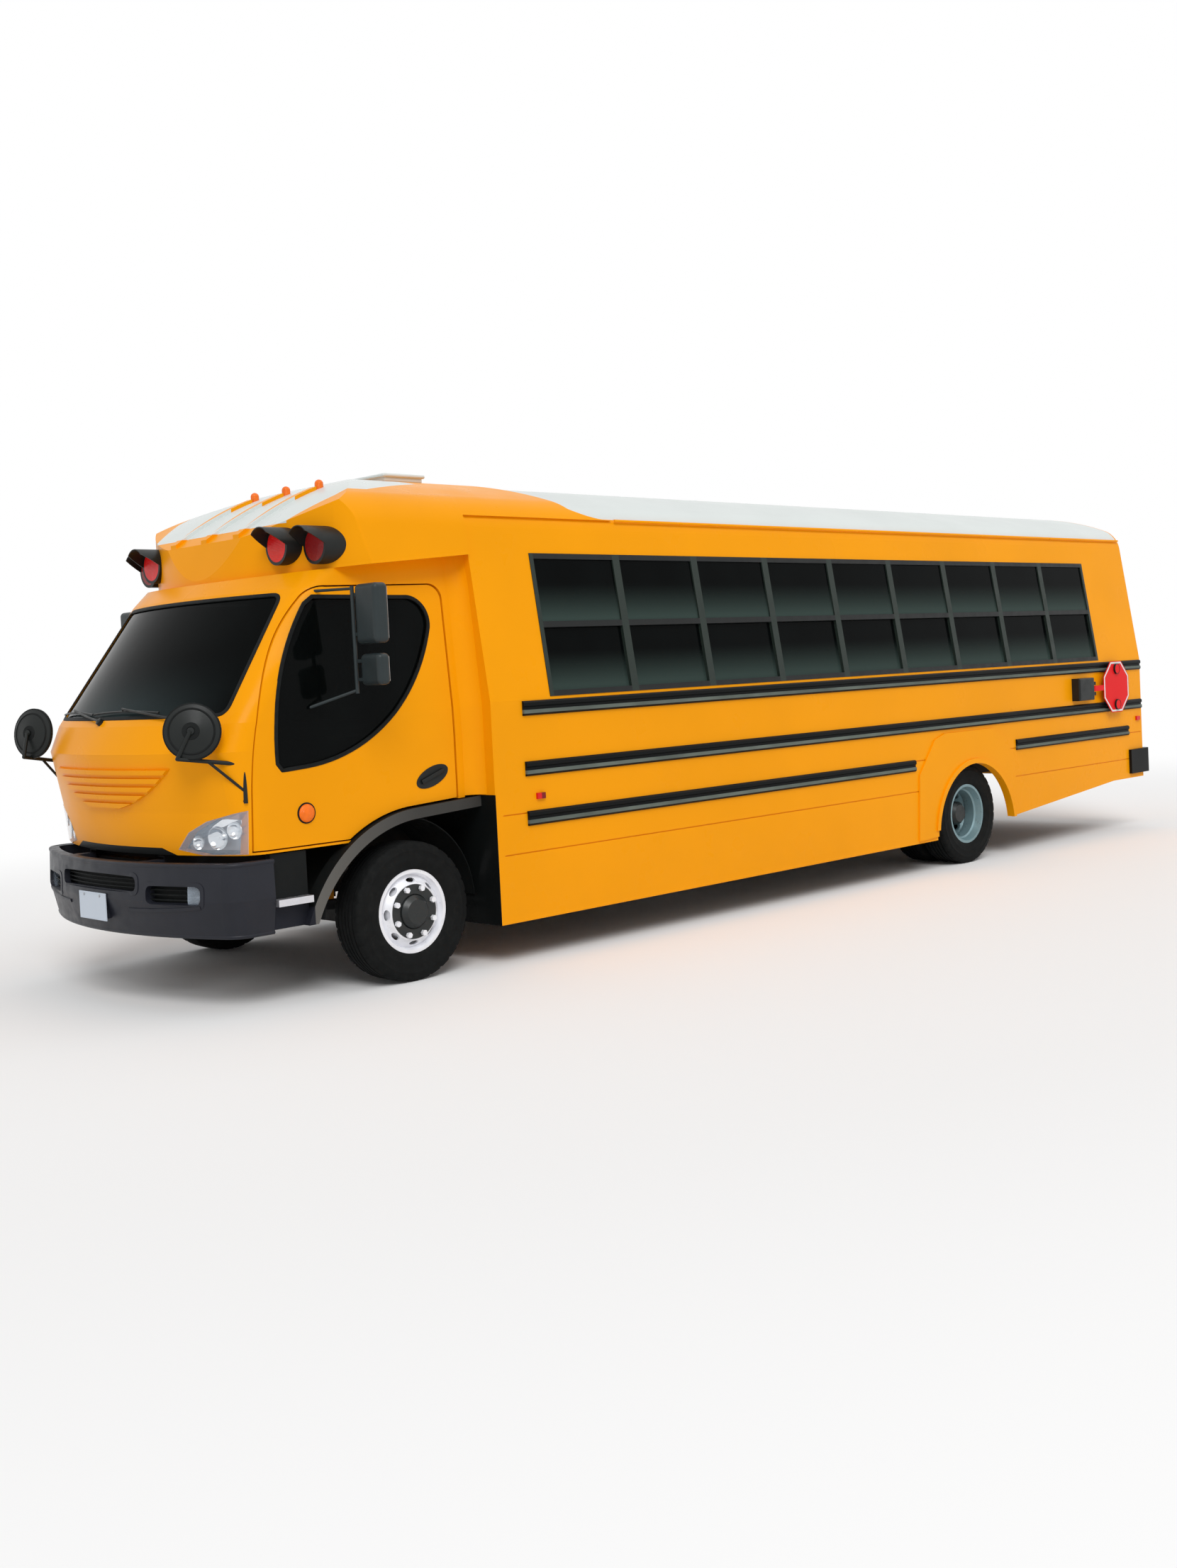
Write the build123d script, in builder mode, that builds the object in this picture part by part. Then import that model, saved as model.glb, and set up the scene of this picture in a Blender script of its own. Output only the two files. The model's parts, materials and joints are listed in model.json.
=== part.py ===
"""Cab-over electric school bus: cab, passenger body, chassis, doors, wheels and stop arm.

The bus stands on Z = 0 with its front towards -Y and its left side towards +X.
Every distance called "behind the axle" is measured from the front axle along +Y.
"""
from build123d import *
import os
from math import cos, hypot, isclose, radians, sin, sqrt

os.makedirs("parts", exist_ok=True)

# ---------------------------------------------------------------- driving dimensions (mm)
WHEELBASE = 5600
BUMPER_FRONT = -1384          # foremost point of the front bumper, behind the axle
PLATE_THICK = 6
BODY_REAR = 8490
REAR_LAMP_FACE = BODY_REAR + 30
HOOD_LONG = 110               # visor over each warning lamp; the rear ones end the bus
FRONT_AXLE_Y = -(BUMPER_FRONT - PLATE_THICK + REAR_LAMP_FACE + HOOD_LONG) / 2

# wheels: 235/75 R17.5 tyres on 17.5 x 6.75 rims
TYRE_R = 398.5
TYRE_HALF = 117.5
TREAD_HALF = 98
RIM_FLANGE_R = 238
RIM_SEAT_R = 222
RIM_WELL_R = 198
RIM_HALF = 98
RIM_WALL = 9
FRONT_WHEEL_X = 982.5         # middle of the front tyre
TWIN_OUTER_X = 1037.5         # middle of the outer rear tyre
TWIN_SPACING = 270
FRONT_DISC = 112              # outer face of the front wheel disc, out from the tyre's middle
STUDS = 8
STUD_CIRCLE_R = 137.5
NUT_R = 17
NUT_HIGH = 22
HAND_HOLE_CIRCLE_R = 178
HAND_HOLE_HALF_WIDE, HAND_HOLE_HALF_LONG = 13, 31
HUB_R = 100
SPINDLE_R = 34
RUNNING_GAP = 1.0             # hub bore over spindle, eye over pin

# steering
KINGPIN_X = 800
KINGPIN_R = 20
BOSS_R = 44
BOSS_HALF = 55
STEERING_ARM = 200            # kingpin to tie-rod pin

# chassis frame
RAIL_OUTER = 430
RAIL_WIDTH = 70
RAIL_BOTTOM = 610
RAIL_TOP = 820
RAIL_WALL = 8
RAIL_FRONT = -1170
RAIL_REAR = 8380

# body
BODY_HALF = 1210
SKIRT_Z = 244
BELT_Z = 1556                 # where the side starts to lean inwards
SHOULDER_X = 1035
SHOULDER_Z = 2715
SHOULDER_R = 230
ROOF_Z = 2950
WALL = 40
ROOF_SPLIT_Z = 2668           # yellow side below, white roof above
BODY_FRONT = 545
END_WALL = 55                 # thickness of the body's front and rear walls
FLOOR_Z = 900
FLOOR_THICK = 40

# side windows
WINDOW_FIRST = 1022
WINDOW_PITCH = 741
WINDOW_COUNT = 9
SILL_Z = 1567
HEADER_Z = 2439
FRAME_POST = 62
FRAME_EDGE = 34
FRAME_DEPTH = 36
FRAME_PROUD = 5
PANE = 6

# rear wheel opening
ARCH_Y = 5610
ARCH_Z = 262
ARCH_R = 545

# entry door on the right side
PORTAL_FRONT = 640
PORTAL_REAR = 1660
PORTAL_TOP = 2330
PORTAL_FRAME = 50
ENTRY_SILL = 300
ENTRY_DEPTH = 190             # how far the portal reaches in from the side
LEAF_THICK = 34
DOOR_GAP = 8

# cab
CAB_REAR = 450
CAB_WALL = 50
CAB_BOTTOM = 830
CAB_FLOOR = 1060
CAB_UNDERSIDE = 1016
CAB_TOP = 2440
CAB_NOSE_R = 2400             # plan radius of the cab's front
CAB_CORNER_R = 160
# height, front behind the axle, half width
CAB_LEVELS = (
    (CAB_BOTTOM, -1238, 1046),
    (1060, -1264, 1050),
    (1380, -1326, 1050),
    (1530, -1262, 1046),
    (2240, -728, 985),
    (CAB_TOP, -520, 948),
)
CAB_HALF = 1050
DOOR_SWING_GAP = 14           # room behind the cab door's swinging edge

# front cap above the cab
CAP_FRONT = -610
CAP_NOSE_R = 1800
CAP_CORNER_R = 320
CAP_HALF = 1125
CAP_PROUD = 14
CAP_WALL = 40
CAP_BOTTOM = 2325             # underside at the cap's front
CAP_BOTTOM_REAR = 2425        # underside where it meets the body

# front bumper
BUMPER_WALL = 60
BUMPER_HALF = 1066
BUMPER_END = -885

LEFT, RIGHT = 1, -1


# ---------------------------------------------------------------- planes and helpers
def side(x=0):
    """Side-view plane: first coordinate behind the axle, second coordinate up, normal +X."""
    return Plane(origin=(x, FRONT_AXLE_Y, 0), x_dir=(0, 1, 0), z_dir=(1, 0, 0))


def plan(z=0):
    """Plan-view plane at height z, measured from the front axle."""
    return Plane(origin=(0, FRONT_AXLE_Y, z))


def cross(behind=0):
    """Front-view plane at a distance behind the axle; extrusions run forwards."""
    return Plane(origin=(0, FRONT_AXLE_Y + behind, 0), x_dir=(1, 0, 0), z_dir=(0, -1, 0))


def save(piece, name):
    piece.part.label = name
    export_step(piece.part, f"parts/{name}.step")


def mirrored(piece):
    """The same piece on the other side of the bus."""
    with BuildPart() as other:
        mirror(piece.part, about=Plane.YZ)
    return other


def block(x0, x1, y0, y1, z0, z1, mode=Mode.ADD):
    """A box between two corners, with its length given behind the axle."""
    centre = ((x0 + x1) / 2, FRONT_AXLE_Y + (y0 + y1) / 2, (z0 + z1) / 2)
    with Locations(centre):
        Box(abs(x1 - x0), abs(y1 - y0), abs(z1 - z0), mode=mode)


def rod(start, end, radius, mode=Mode.ADD):
    """A round bar between two points whose second coordinate is behind the axle."""
    a = Vector(start[0], FRONT_AXLE_Y + start[1], start[2])
    b = Vector(end[0], FRONT_AXLE_Y + end[1], end[2])
    with Locations(Plane(origin=a, z_dir=b - a)):
        Cylinder(radius, (b - a).length, align=(Align.CENTER, Align.CENTER, Align.MIN), mode=mode)


def outline(plane, points, rounding=0.0):
    """A closed straight-sided outline, its corners rounded."""
    with BuildSketch(plane) as shape:
        with BuildLine():
            Polyline(*points, close=True)
        make_face()
        if rounding:
            fillet(shape.vertices(), rounding)
    return shape.sketch


def turned(profiles, centre, out):
    """Revolve (axial, radius) outlines about the axle line; axial counts outwards from centre."""
    x, behind, z = centre
    origin = (x, FRONT_AXLE_Y + behind, z)
    with BuildPart() as piece:
        with BuildSketch(Plane(origin=origin, x_dir=(0, 0, 1), z_dir=(0, out, 0))):
            for profile in profiles:
                with BuildLine():
                    Polyline(*((radius, axial) for axial, radius in profile), close=True)
                make_face()
        revolve(axis=Axis(origin, (1, 0, 0)))
    return piece


# ---------------------------------------------------------------- body section
def body_section(plane, inset=0.0, bottom=SKIRT_Z):
    """Cross-section of the passenger body, drawn inset from its outer skin."""
    half = BODY_HALF - inset
    shoulder_x = SHOULDER_X - inset
    shoulder_z = SHOULDER_Z - inset
    with BuildSketch(plane) as shape:
        with BuildLine():
            ThreePointArc((-shoulder_x, shoulder_z), (0, ROOF_Z - inset), (shoulder_x, shoulder_z))
            Polyline((shoulder_x, shoulder_z), (half, BELT_Z), (half, bottom),
                     (-half, bottom), (-half, BELT_Z), (-shoulder_x, shoulder_z))
        make_face()
        corners = shape.vertices().filter_by(lambda v: isclose(v.Y, shoulder_z, abs_tol=0.01))
        fillet(corners, SHOULDER_R - inset)
    return shape.sketch


LEAN = (BODY_HALF - SHOULDER_X) / (SHOULDER_Z - BELT_Z)     # sideways lean per unit of height


def wall_x(z):
    """Outer face of the side wall at height z."""
    return BODY_HALF - max(0.0, z - BELT_Z) * LEAN


def body_ring(start, end, bottom=SKIRT_Z):
    """The body's outer skin, one wall thick, open at both ends."""
    with BuildPart() as ring:
        extrude(body_section(cross(start), 0, bottom), amount=start - end)
        extrude(body_section(cross(start), WALL, bottom - 1), amount=start - end, mode=Mode.SUBTRACT)
    return ring.part


# ---------------------------------------------------------------- wheels
TYRE_PROFILE = (
    (-TREAD_HALF, TYRE_R), (TREAD_HALF, TYRE_R), (TYRE_HALF - 3, TYRE_R - 22), (TYRE_HALF, TYRE_R - 84),
    (RIM_HALF + 1, RIM_FLANGE_R + 1), (-RIM_HALF - 1, RIM_FLANGE_R + 1),
    (-TYRE_HALF, TYRE_R - 84), (-TYRE_HALF + 3, TYRE_R - 22),
)


def rim_profile():
    """Half-open drop-centre rim band as (axial, radius)."""
    outer = [(-RIM_HALF, RIM_FLANGE_R), (-RIM_HALF + 10, RIM_FLANGE_R), (-RIM_HALF + 12, RIM_SEAT_R),
             (-50, RIM_WELL_R + 14), (-36, RIM_WELL_R), (36, RIM_WELL_R), (50, RIM_WELL_R + 14),
             (RIM_HALF - 12, RIM_SEAT_R), (RIM_HALF - 10, RIM_FLANGE_R), (RIM_HALF, RIM_FLANGE_R)]
    inner = [(RIM_HALF, RIM_SEAT_R - 4), (50, RIM_WELL_R + 14 - RIM_WALL - 3), (40, RIM_WELL_R - RIM_WALL),
             (-40, RIM_WELL_R - RIM_WALL), (-50, RIM_WELL_R + 14 - RIM_WALL - 3), (-RIM_HALF, RIM_SEAT_R - 4)]
    return outer + inner


def disc_profile(face):
    """Wheel disc whose outer face stands at the given axial distance."""
    root = 52
    return ((root, RIM_WELL_R + 2), (root + 12, RIM_WELL_R + 8), (face - 4, 164), (face, 156),
            (face, HUB_R), (face - 10, HUB_R), (face - 10, 152), (face - 14, 157))


def hub_profile(inner, outer, flange):
    """Hub and brake drum, bored for the spindle, as (axial, radius)."""
    bore = SPINDLE_R + RUNNING_GAP
    return ((inner, bore), (inner, 165), (flange - 12, 165), (flange - 12, 155), (flange, 155),
            (flange, HUB_R), (outer - 25, HUB_R - 6), (outer, HUB_R - 30), (outer, 0), (outer - 20, 0),
            (outer - 20, bore))


def stud_ring(x, behind, z, out, hole_start, hole_deep, nut_face):
    """Hand holes through the disc's cone and wheel nuts standing on its face."""
    axis_plane = Plane(origin=(x, FRONT_AXLE_Y + behind, z), x_dir=(0, 1, 0), z_dir=(out, 0, 0))
    with BuildSketch(axis_plane.offset(hole_start)) as holes:
        with PolarLocations(HAND_HOLE_CIRCLE_R, STUDS):
            Ellipse(HAND_HOLE_HALF_WIDE, HAND_HOLE_HALF_LONG)
    extrude(holes.sketch, amount=hole_deep, mode=Mode.SUBTRACT)
    with BuildSketch(axis_plane.offset(nut_face - 2)) as nuts:
        with PolarLocations(STUD_CIRCLE_R, STUDS, start_angle=180 / STUDS):
            RegularPolygon(NUT_R, 6)
    extrude(nuts.sketch, amount=NUT_HIGH + 2)


def front_wheel(out):
    centre = (out * FRONT_WHEEL_X, 0, TYRE_R)
    tyre = turned([TYRE_PROFILE], centre, out)
    profiles = [rim_profile(), disc_profile(FRONT_DISC),
                hub_profile(KINGPIN_X + 95 - FRONT_WHEEL_X, FRONT_DISC + 34, FRONT_DISC - 10)]
    body = turned(profiles, centre, out)
    with BuildPart() as rim:
        add(body.part)
        stud_ring(*centre, out, FRONT_DISC - 70, 90, FRONT_DISC)
    return tyre, rim


def rear_wheel(out):
    """Twin wheel: the two discs meet face to face halfway between the tyres."""
    outer = (out * TWIN_OUTER_X, WHEELBASE, TYRE_R)
    inner = (out * (TWIN_OUTER_X - TWIN_SPACING), WHEELBASE, TYRE_R)
    disc = TWIN_SPACING / 2
    outer_tyre = turned([TYRE_PROFILE], outer, out)
    inner_tyre = turned([TYRE_PROFILE], inner, out)
    with BuildPart() as tyres:
        add(outer_tyre.part)
        add(inner_tyre.part)
    outer_rim = turned([rim_profile(), disc_profile(disc)], outer, -out)
    hub = hub_profile(disc - 150, disc + 170, disc - 10)
    inner_rim = turned([rim_profile(), disc_profile(disc), hub], inner, out)
    with BuildPart() as rims:
        add(outer_rim.part)
        add(inner_rim.part)
        stud_ring(*outer, out, -disc - 40, 110, -disc + 10)
    return tyres, rims


tyre_front, rim_front = front_wheel(LEFT)
tyres_rear, rims_rear = rear_wheel(LEFT)
for name, piece in (("tyre_front", tyre_front), ("rim_front", rim_front),
                    ("tyres_rear", tyres_rear), ("rims_rear", rims_rear)):
    save(piece, f"{name}_left")
    save(mirrored(piece), f"{name}_right")


# ---------------------------------------------------------------- steering and axles
EAR_THICK = 28
EAR_GAP = 6
ARM_Z = TYRE_R - BOSS_HALF - EAR_GAP - EAR_THICK / 2      # the lower ear carries the steering arm
TIE_ROD_Z = ARM_Z - 36
TIE_PIN_R = 10
TIE_EYE_R = 24

with BuildPart() as knuckle_left:
    for low in (TYRE_R + BOSS_HALF + EAR_GAP, TYRE_R - BOSS_HALF - EAR_GAP - EAR_THICK):
        rod((KINGPIN_X, 0, low), (KINGPIN_X, 0, low + EAR_THICK), BOSS_R)
        block(KINGPIN_X, KINGPIN_X + BOSS_R + 30, -BOSS_R, BOSS_R, low, low + EAR_THICK)
    top = TYRE_R + BOSS_HALF + EAR_GAP + EAR_THICK
    bottom = TYRE_R - BOSS_HALF - EAR_GAP - EAR_THICK
    rod((KINGPIN_X, 0, bottom - 6), (KINGPIN_X, 0, top + 6), KINGPIN_R)
    block(KINGPIN_X + BOSS_R + 10, KINGPIN_X + BOSS_R + 36, -BOSS_R, BOSS_R, bottom, top)
    rod((KINGPIN_X + BOSS_R + 20, 0, TYRE_R), (FRONT_WHEEL_X + FRONT_DISC + 8, 0, TYRE_R), SPINDLE_R)
    block(KINGPIN_X - 22, KINGPIN_X + 22, 0, STEERING_ARM, ARM_Z - 12, ARM_Z + 12)
    rod((KINGPIN_X, STEERING_ARM, ARM_Z - 12), (KINGPIN_X, STEERING_ARM, ARM_Z + 12), TIE_EYE_R)
    rod((KINGPIN_X, STEERING_ARM, TIE_ROD_Z - 22), (KINGPIN_X, STEERING_ARM, ARM_Z), TIE_PIN_R)
save(knuckle_left, "knuckle_left")
save(mirrored(knuckle_left), "knuckle_right")

with BuildPart() as tie_rod:
    rod((-KINGPIN_X, STEERING_ARM, TIE_ROD_Z), (KINGPIN_X, STEERING_ARM, TIE_ROD_Z), 15)
    for x in (-KINGPIN_X, KINGPIN_X):
        rod((x, STEERING_ARM, TIE_ROD_Z - 18), (x, STEERING_ARM, TIE_ROD_Z + 18), TIE_EYE_R)
        rod((x, STEERING_ARM, TIE_ROD_Z - 20), (x, STEERING_ARM, TIE_ROD_Z + 20),
            TIE_PIN_R + RUNNING_GAP, mode=Mode.SUBTRACT)
save(tie_rod, "tie_rod")

SPRING_X = RAIL_OUTER - RAIL_WIDTH / 2
SPRING_WIDTH = 66
SPRING_THICK = 54
SPRING_HALF = 640
SPRING_RISE = 130
LEAF_TIP = 16                  # thickness at the ends
BEAM_TOP = 372                 # spring seat on the front axle
BEAM_HEIGHT = 84
BEAM_HALF = 34
DIFF_R = 175
TUBE_R = 62
PINION_R = 70
PINION_END = WHEELBASE - DIFF_R - 60

with BuildPart() as front_axle:
    with BuildSketch(cross(BEAM_HALF)):
        with BuildLine():
            Polyline((-KINGPIN_X, TYRE_R + 30), (-640, BEAM_TOP), (640, BEAM_TOP), (KINGPIN_X, TYRE_R + 30),
                     (KINGPIN_X, TYRE_R - 36), (620, BEAM_TOP - BEAM_HEIGHT), (-620, BEAM_TOP - BEAM_HEIGHT),
                     (-KINGPIN_X, TYRE_R - 36), close=True)
        make_face()
    extrude(amount=2 * BEAM_HALF)
    for x in (-KINGPIN_X, KINGPIN_X):
        rod((x, 0, TYRE_R - BOSS_HALF), (x, 0, TYRE_R + BOSS_HALF), BOSS_R)
        rod((x, 0, TYRE_R - BOSS_HALF), (x, 0, TYRE_R + BOSS_HALF), KINGPIN_R + RUNNING_GAP,
            mode=Mode.SUBTRACT)
save(front_axle, "front_axle")

REAR_SPINDLE_END = TWIN_OUTER_X - TWIN_SPACING / 2 + 140
with BuildPart() as rear_axle:
    rod((-560, WHEELBASE, TYRE_R), (560, WHEELBASE, TYRE_R), TUBE_R)
    rod((-REAR_SPINDLE_END, WHEELBASE, TYRE_R), (REAR_SPINDLE_END, WHEELBASE, TYRE_R), SPINDLE_R)
    with Locations((0, FRONT_AXLE_Y + WHEELBASE, TYRE_R)):
        Sphere(DIFF_R)
    rod((0, WHEELBASE, TYRE_R), (0, PINION_END, TYRE_R), PINION_R)
save(rear_axle, "rear_axle")


def leaf_spring(x, behind, seat):
    """One leaf pack: an upward-bowed bar standing on the axle's seat."""
    front, rear, tip = behind - SPRING_HALF, behind + SPRING_HALF, seat + SPRING_RISE
    with BuildSketch(side(x - SPRING_WIDTH / 2)) as leaf:
        with BuildLine():
            low = ThreePointArc((front, tip), (behind, seat), (rear, tip))
            high = ThreePointArc((front, tip + LEAF_TIP), (behind, seat + SPRING_THICK),
                                 (rear, tip + LEAF_TIP))
            Line(low @ 0, high @ 0)
            Line(low @ 1, high @ 1)
        make_face()
    extrude(leaf.sketch, amount=SPRING_WIDTH)


REAR_SEAT = TYRE_R + TUBE_R
with BuildPart() as leaf_springs:
    for x in (-SPRING_X, SPRING_X):
        leaf_spring(x, 0, BEAM_TOP)
        leaf_spring(x, WHEELBASE, REAR_SEAT)
save(leaf_springs, "leaf_springs")

# ---------------------------------------------------------------- chassis frame
# distance behind the axle of each cross member
CROSS_MEMBERS = (-1110, -720, 900, 1850, 4700, 6400, 8330)
HANGERS = ((0, BEAM_TOP), (WHEELBASE, REAR_SEAT))
TOW_EYE_R = 21
TOW_EYE_Z = 430
REAR_TOW_END = RAIL_REAR + 40

with BuildPart() as chassis_frame:
    for out in (LEFT, RIGHT):
        outer, inner = out * RAIL_OUTER, out * (RAIL_OUTER - RAIL_WIDTH)
        block(inner, outer, RAIL_FRONT, RAIL_REAR, RAIL_BOTTOM, RAIL_TOP)
        block(inner - out, outer - out * RAIL_WALL, RAIL_FRONT - 1, RAIL_REAR + 1,
              RAIL_BOTTOM + RAIL_WALL, RAIL_TOP - RAIL_WALL, mode=Mode.SUBTRACT)
        for behind, seat in HANGERS:
            for end in (behind - SPRING_HALF, behind + SPRING_HALF):
                block(inner, outer, end - 45, end + 45, seat + SPRING_RISE + LEAF_TIP,
                      RAIL_BOTTOM + RAIL_WALL)
    for behind in CROSS_MEMBERS:
        block(-RAIL_OUTER + RAIL_WALL, RAIL_OUTER - RAIL_WALL, behind - 40, behind + 40,
              RAIL_BOTTOM + 40, RAIL_TOP - 40)
    # towing eye under the rear cross member
    block(-20, 20, RAIL_REAR - 90, REAR_TOW_END, TOW_EYE_Z - 45, RAIL_BOTTOM + 60)
    rod((-21, REAR_TOW_END - 45, TOW_EYE_Z), (21, REAR_TOW_END - 45, TOW_EYE_Z), TOW_EYE_R,
        mode=Mode.SUBTRACT)
save(chassis_frame, "chassis_frame")

MOTOR_FRONT, MOTOR_REAR = 2500, 3400
MOTOR_Z = 600
SHAFT_R = 45
with BuildPart() as drive_motor:
    rod((0, MOTOR_FRONT, MOTOR_Z), (0, MOTOR_REAR, MOTOR_Z), 215)
    block(-RAIL_OUTER + RAIL_WALL, RAIL_OUTER - RAIL_WALL, MOTOR_FRONT + 200, MOTOR_FRONT + 300,
          RAIL_BOTTOM + 30, RAIL_BOTTOM + 90)
    rod((0, MOTOR_REAR - 20, MOTOR_Z), (0, PINION_END - 20, TYRE_R + 20), SHAFT_R)
    rod((0, PINION_END - 60, TYRE_R), (0, PINION_END, TYRE_R), PINION_R)
save(drive_motor, "drive_motor")

PACK_FRONT, PACK_REAR = 1950, 4600
with BuildPart() as battery_packs:
    for out in (LEFT, RIGHT):
        block(out * RAIL_OUTER, out * 1120, PACK_FRONT, PACK_REAR, 360, 820)
save(battery_packs, "battery_packs")

# ---------------------------------------------------------------- cab
def below_cap(drop=0.0):
    """Side-view region below the line of the cap's underside."""
    slope = (CAP_BOTTOM_REAR - CAP_BOTTOM) / (BODY_FRONT - CAP_FRONT)
    reach = 1000
    return outline(side(0), (
        (CAP_FRONT - reach, CAP_BOTTOM - slope * reach - drop), (BODY_FRONT, CAP_BOTTOM_REAR - drop),
        (BODY_FRONT, 0), (CAP_FRONT - reach, 0)))


def cab_solid(inset=0.0):
    """Solid of the cab's outer form, drawn inset from its skin."""
    with BuildPart() as solid:
        for z, front, half in CAB_LEVELS:
            corner_x = half - inset
            nose = front + inset
            corner_y = nose + CAB_NOSE_R - sqrt(CAB_NOSE_R ** 2 - corner_x ** 2)
            with BuildSketch(plan(z)) as level:
                with BuildLine():
                    ThreePointArc((-corner_x, corner_y), (0, nose), (corner_x, corner_y))
                    Polyline((corner_x, corner_y), (corner_x, CAB_REAR - inset),
                             (-corner_x, CAB_REAR - inset), (-corner_x, corner_y))
                make_face()
                corners = level.vertices().filter_by(lambda v: isclose(v.Y, corner_y, abs_tol=0.01))
                fillet(corners, CAB_CORNER_R - min(inset, 60))
        loft(ruled=True)
        extrude(below_cap(max(inset, 0)), amount=BODY_HALF, both=True, mode=Mode.INTERSECT)
    return solid.part


def cab_half(z):
    """Half width of the cab's skin at height z."""
    for (z0, _, half0), (z1, _, half1) in zip(CAB_LEVELS, CAB_LEVELS[1:]):
        if z <= z1:
            return half0 + (half1 - half0) * (z - z0) / (z1 - z0)
    return CAB_LEVELS[-1][2]


CAB_OUTER = cab_solid()
CAB_INNER = cab_solid(CAB_WALL)

# the wheel arch of the cab
ARCH_INNER_X = 560            # inboard of this the cab's underside runs straight through
FLARE_BAND = 62
FLARE_GAP = 8
FLARE_FOOT_Z = 420
ARCH_REAR_Z = 1012


def arch_region(plane, shrink=0.0):
    """Everything below the cab's wheel-arch line, shrunk towards the wheel."""
    with BuildSketch(plane) as region:
        with BuildLine():
            rise = ThreePointArc((-700 + shrink, 420), (-430 + shrink * 0.7, 800 - shrink * 0.8),
                                 (60, 985 - shrink))
            Polyline(rise @ 1, (BODY_FRONT, ARCH_REAR_Z - shrink), (BODY_FRONT, 200),
                     (-700 + shrink, 200), rise @ 0)
        make_face()
    return region.sketch


def cab_door_outline(gap=0.0, rear_gap=0.0):
    """Outline of the cab door opening in side view, drawn in by a gap all round."""
    front, foot, rear, top = -985 + gap, 842 + gap, 402 - rear_gap, 2262 - gap
    with BuildSketch(side(0)) as door:
        with BuildLine():
            pillar = ThreePointArc((front, 1150), (-868 + gap, 1720), (-566 + gap * 0.7, 2185 - gap * 0.7))
            brow = ThreePointArc(pillar @ 1, (-500 + gap * 0.4, 2235 - gap * 0.9), (-410, top - 10))
            Line(brow @ 1, (rear - 102, top))
            ThreePointArc((rear - 102, top), (rear - 27, top - 27), (rear, top - 102))
            Polyline((rear, top - 102), (rear, foot), (front, foot), (front, 1150))
        make_face()
    return door.sketch


def door_window():
    """Window of the cab door: its lower edge sweeps up to the rear."""
    with BuildSketch(side(0)) as window:
        with BuildLine():
            ThreePointArc((-820, 1300), (-790, 1640), (-560, 2150))
            Polyline((-560, 2150), (-500, 2190), (120, 2185))
            ThreePointArc((120, 2185), (245, 2135), (280, 2010))
            ThreePointArc((280, 2010), (26, 1578), (-640, 1272))
            Polyline((-640, 1272), (-790, 1262), (-820, 1300))
        make_face()
    return window.sketch


WINDSCREEN = ((-926, 1575), (926, 1575), (840, 2213), (-840, 2213))
HEADLAMP = ((590, 862), (680, 955), (810, 1015), (1075, 1078), (1075, 838), (760, 832))
LAMP_REAR = -1002             # the headlamp stops just ahead of the door
PASSAGE_HALF = 300            # walk-through between cab and passenger body
PASSAGE_TOP = 2200

with BuildPart() as cab_room:
    add(CAB_INNER)
    block(-BODY_HALF, BODY_HALF, -1500, CAB_REAR, CAB_FLOOR, CAB_TOP, mode=Mode.INTERSECT)

with BuildPart() as cab_underside:
    add(CAB_INNER)
    block(-CAB_HALF + CAB_WALL, CAB_HALF - CAB_WALL, 0, CAB_REAR + 5, 0, CAB_UNDERSIDE)
    block(-BODY_HALF, BODY_HALF, -1500, CAB_REAR + 5, 0, CAB_UNDERSIDE, mode=Mode.INTERSECT)

with BuildPart() as cab_shell:
    add(CAB_OUTER)
    add(cab_room.part, mode=Mode.SUBTRACT)
    add(cab_underside.part, mode=Mode.SUBTRACT)
    extrude(cab_door_outline(), amount=BODY_HALF, both=True, mode=Mode.SUBTRACT)
    for out in (LEFT, RIGHT):
        extrude(arch_region(side(out * ARCH_INNER_X)), amount=out * BODY_HALF, mode=Mode.SUBTRACT)
        lamp_cut = outline(cross(LAMP_REAR), [(out * x, z) for x, z in HEADLAMP])
        extrude(lamp_cut, amount=600, mode=Mode.SUBTRACT)
    extrude(outline(cross(-350), WINDSCREEN, 55), amount=1100, mode=Mode.SUBTRACT)
    block(-PASSAGE_HALF, PASSAGE_HALF, CAB_REAR - CAB_WALL - 5, CAB_REAR + 5, CAB_FLOOR, PASSAGE_TOP,
          mode=Mode.SUBTRACT)
save(cab_shell, "cab_shell")

GLASS_THICK = 7
SCREEN_DEPTH = 9
DOOR_PANE_DEPTH = 16
LAMP_PROUD = 4
LAMP_DEPTH = 65
LOUVRE_PROUD = 6
RIB_PROUD = 20


def layer(solid, outer, inner):
    """What lies between two insets of the cab or of the bumper."""
    outside, inside = solid(outer), solid(inner)
    with BuildPart() as skin:
        add(outside)
        add(inside, mode=Mode.SUBTRACT)
    return skin.part


SCREEN_LAYER = layer(cab_solid, SCREEN_DEPTH, SCREEN_DEPTH + GLASS_THICK)
DOOR_PANE_LAYER = layer(cab_solid, DOOR_PANE_DEPTH, DOOR_PANE_DEPTH + GLASS_THICK)
LAMP_LAYER = layer(cab_solid, -LAMP_PROUD, LAMP_DEPTH)
LOUVRE_LAYER = layer(cab_solid, -LOUVRE_PROUD, 0)
RIB_LAYER = layer(cab_solid, -RIB_PROUD, 0)

with BuildPart() as windscreen:
    add(SCREEN_LAYER)
    extrude(outline(cross(-350), WINDSCREEN, 55), amount=1100, mode=Mode.INTERSECT)
save(windscreen, "windscreen")

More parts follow.
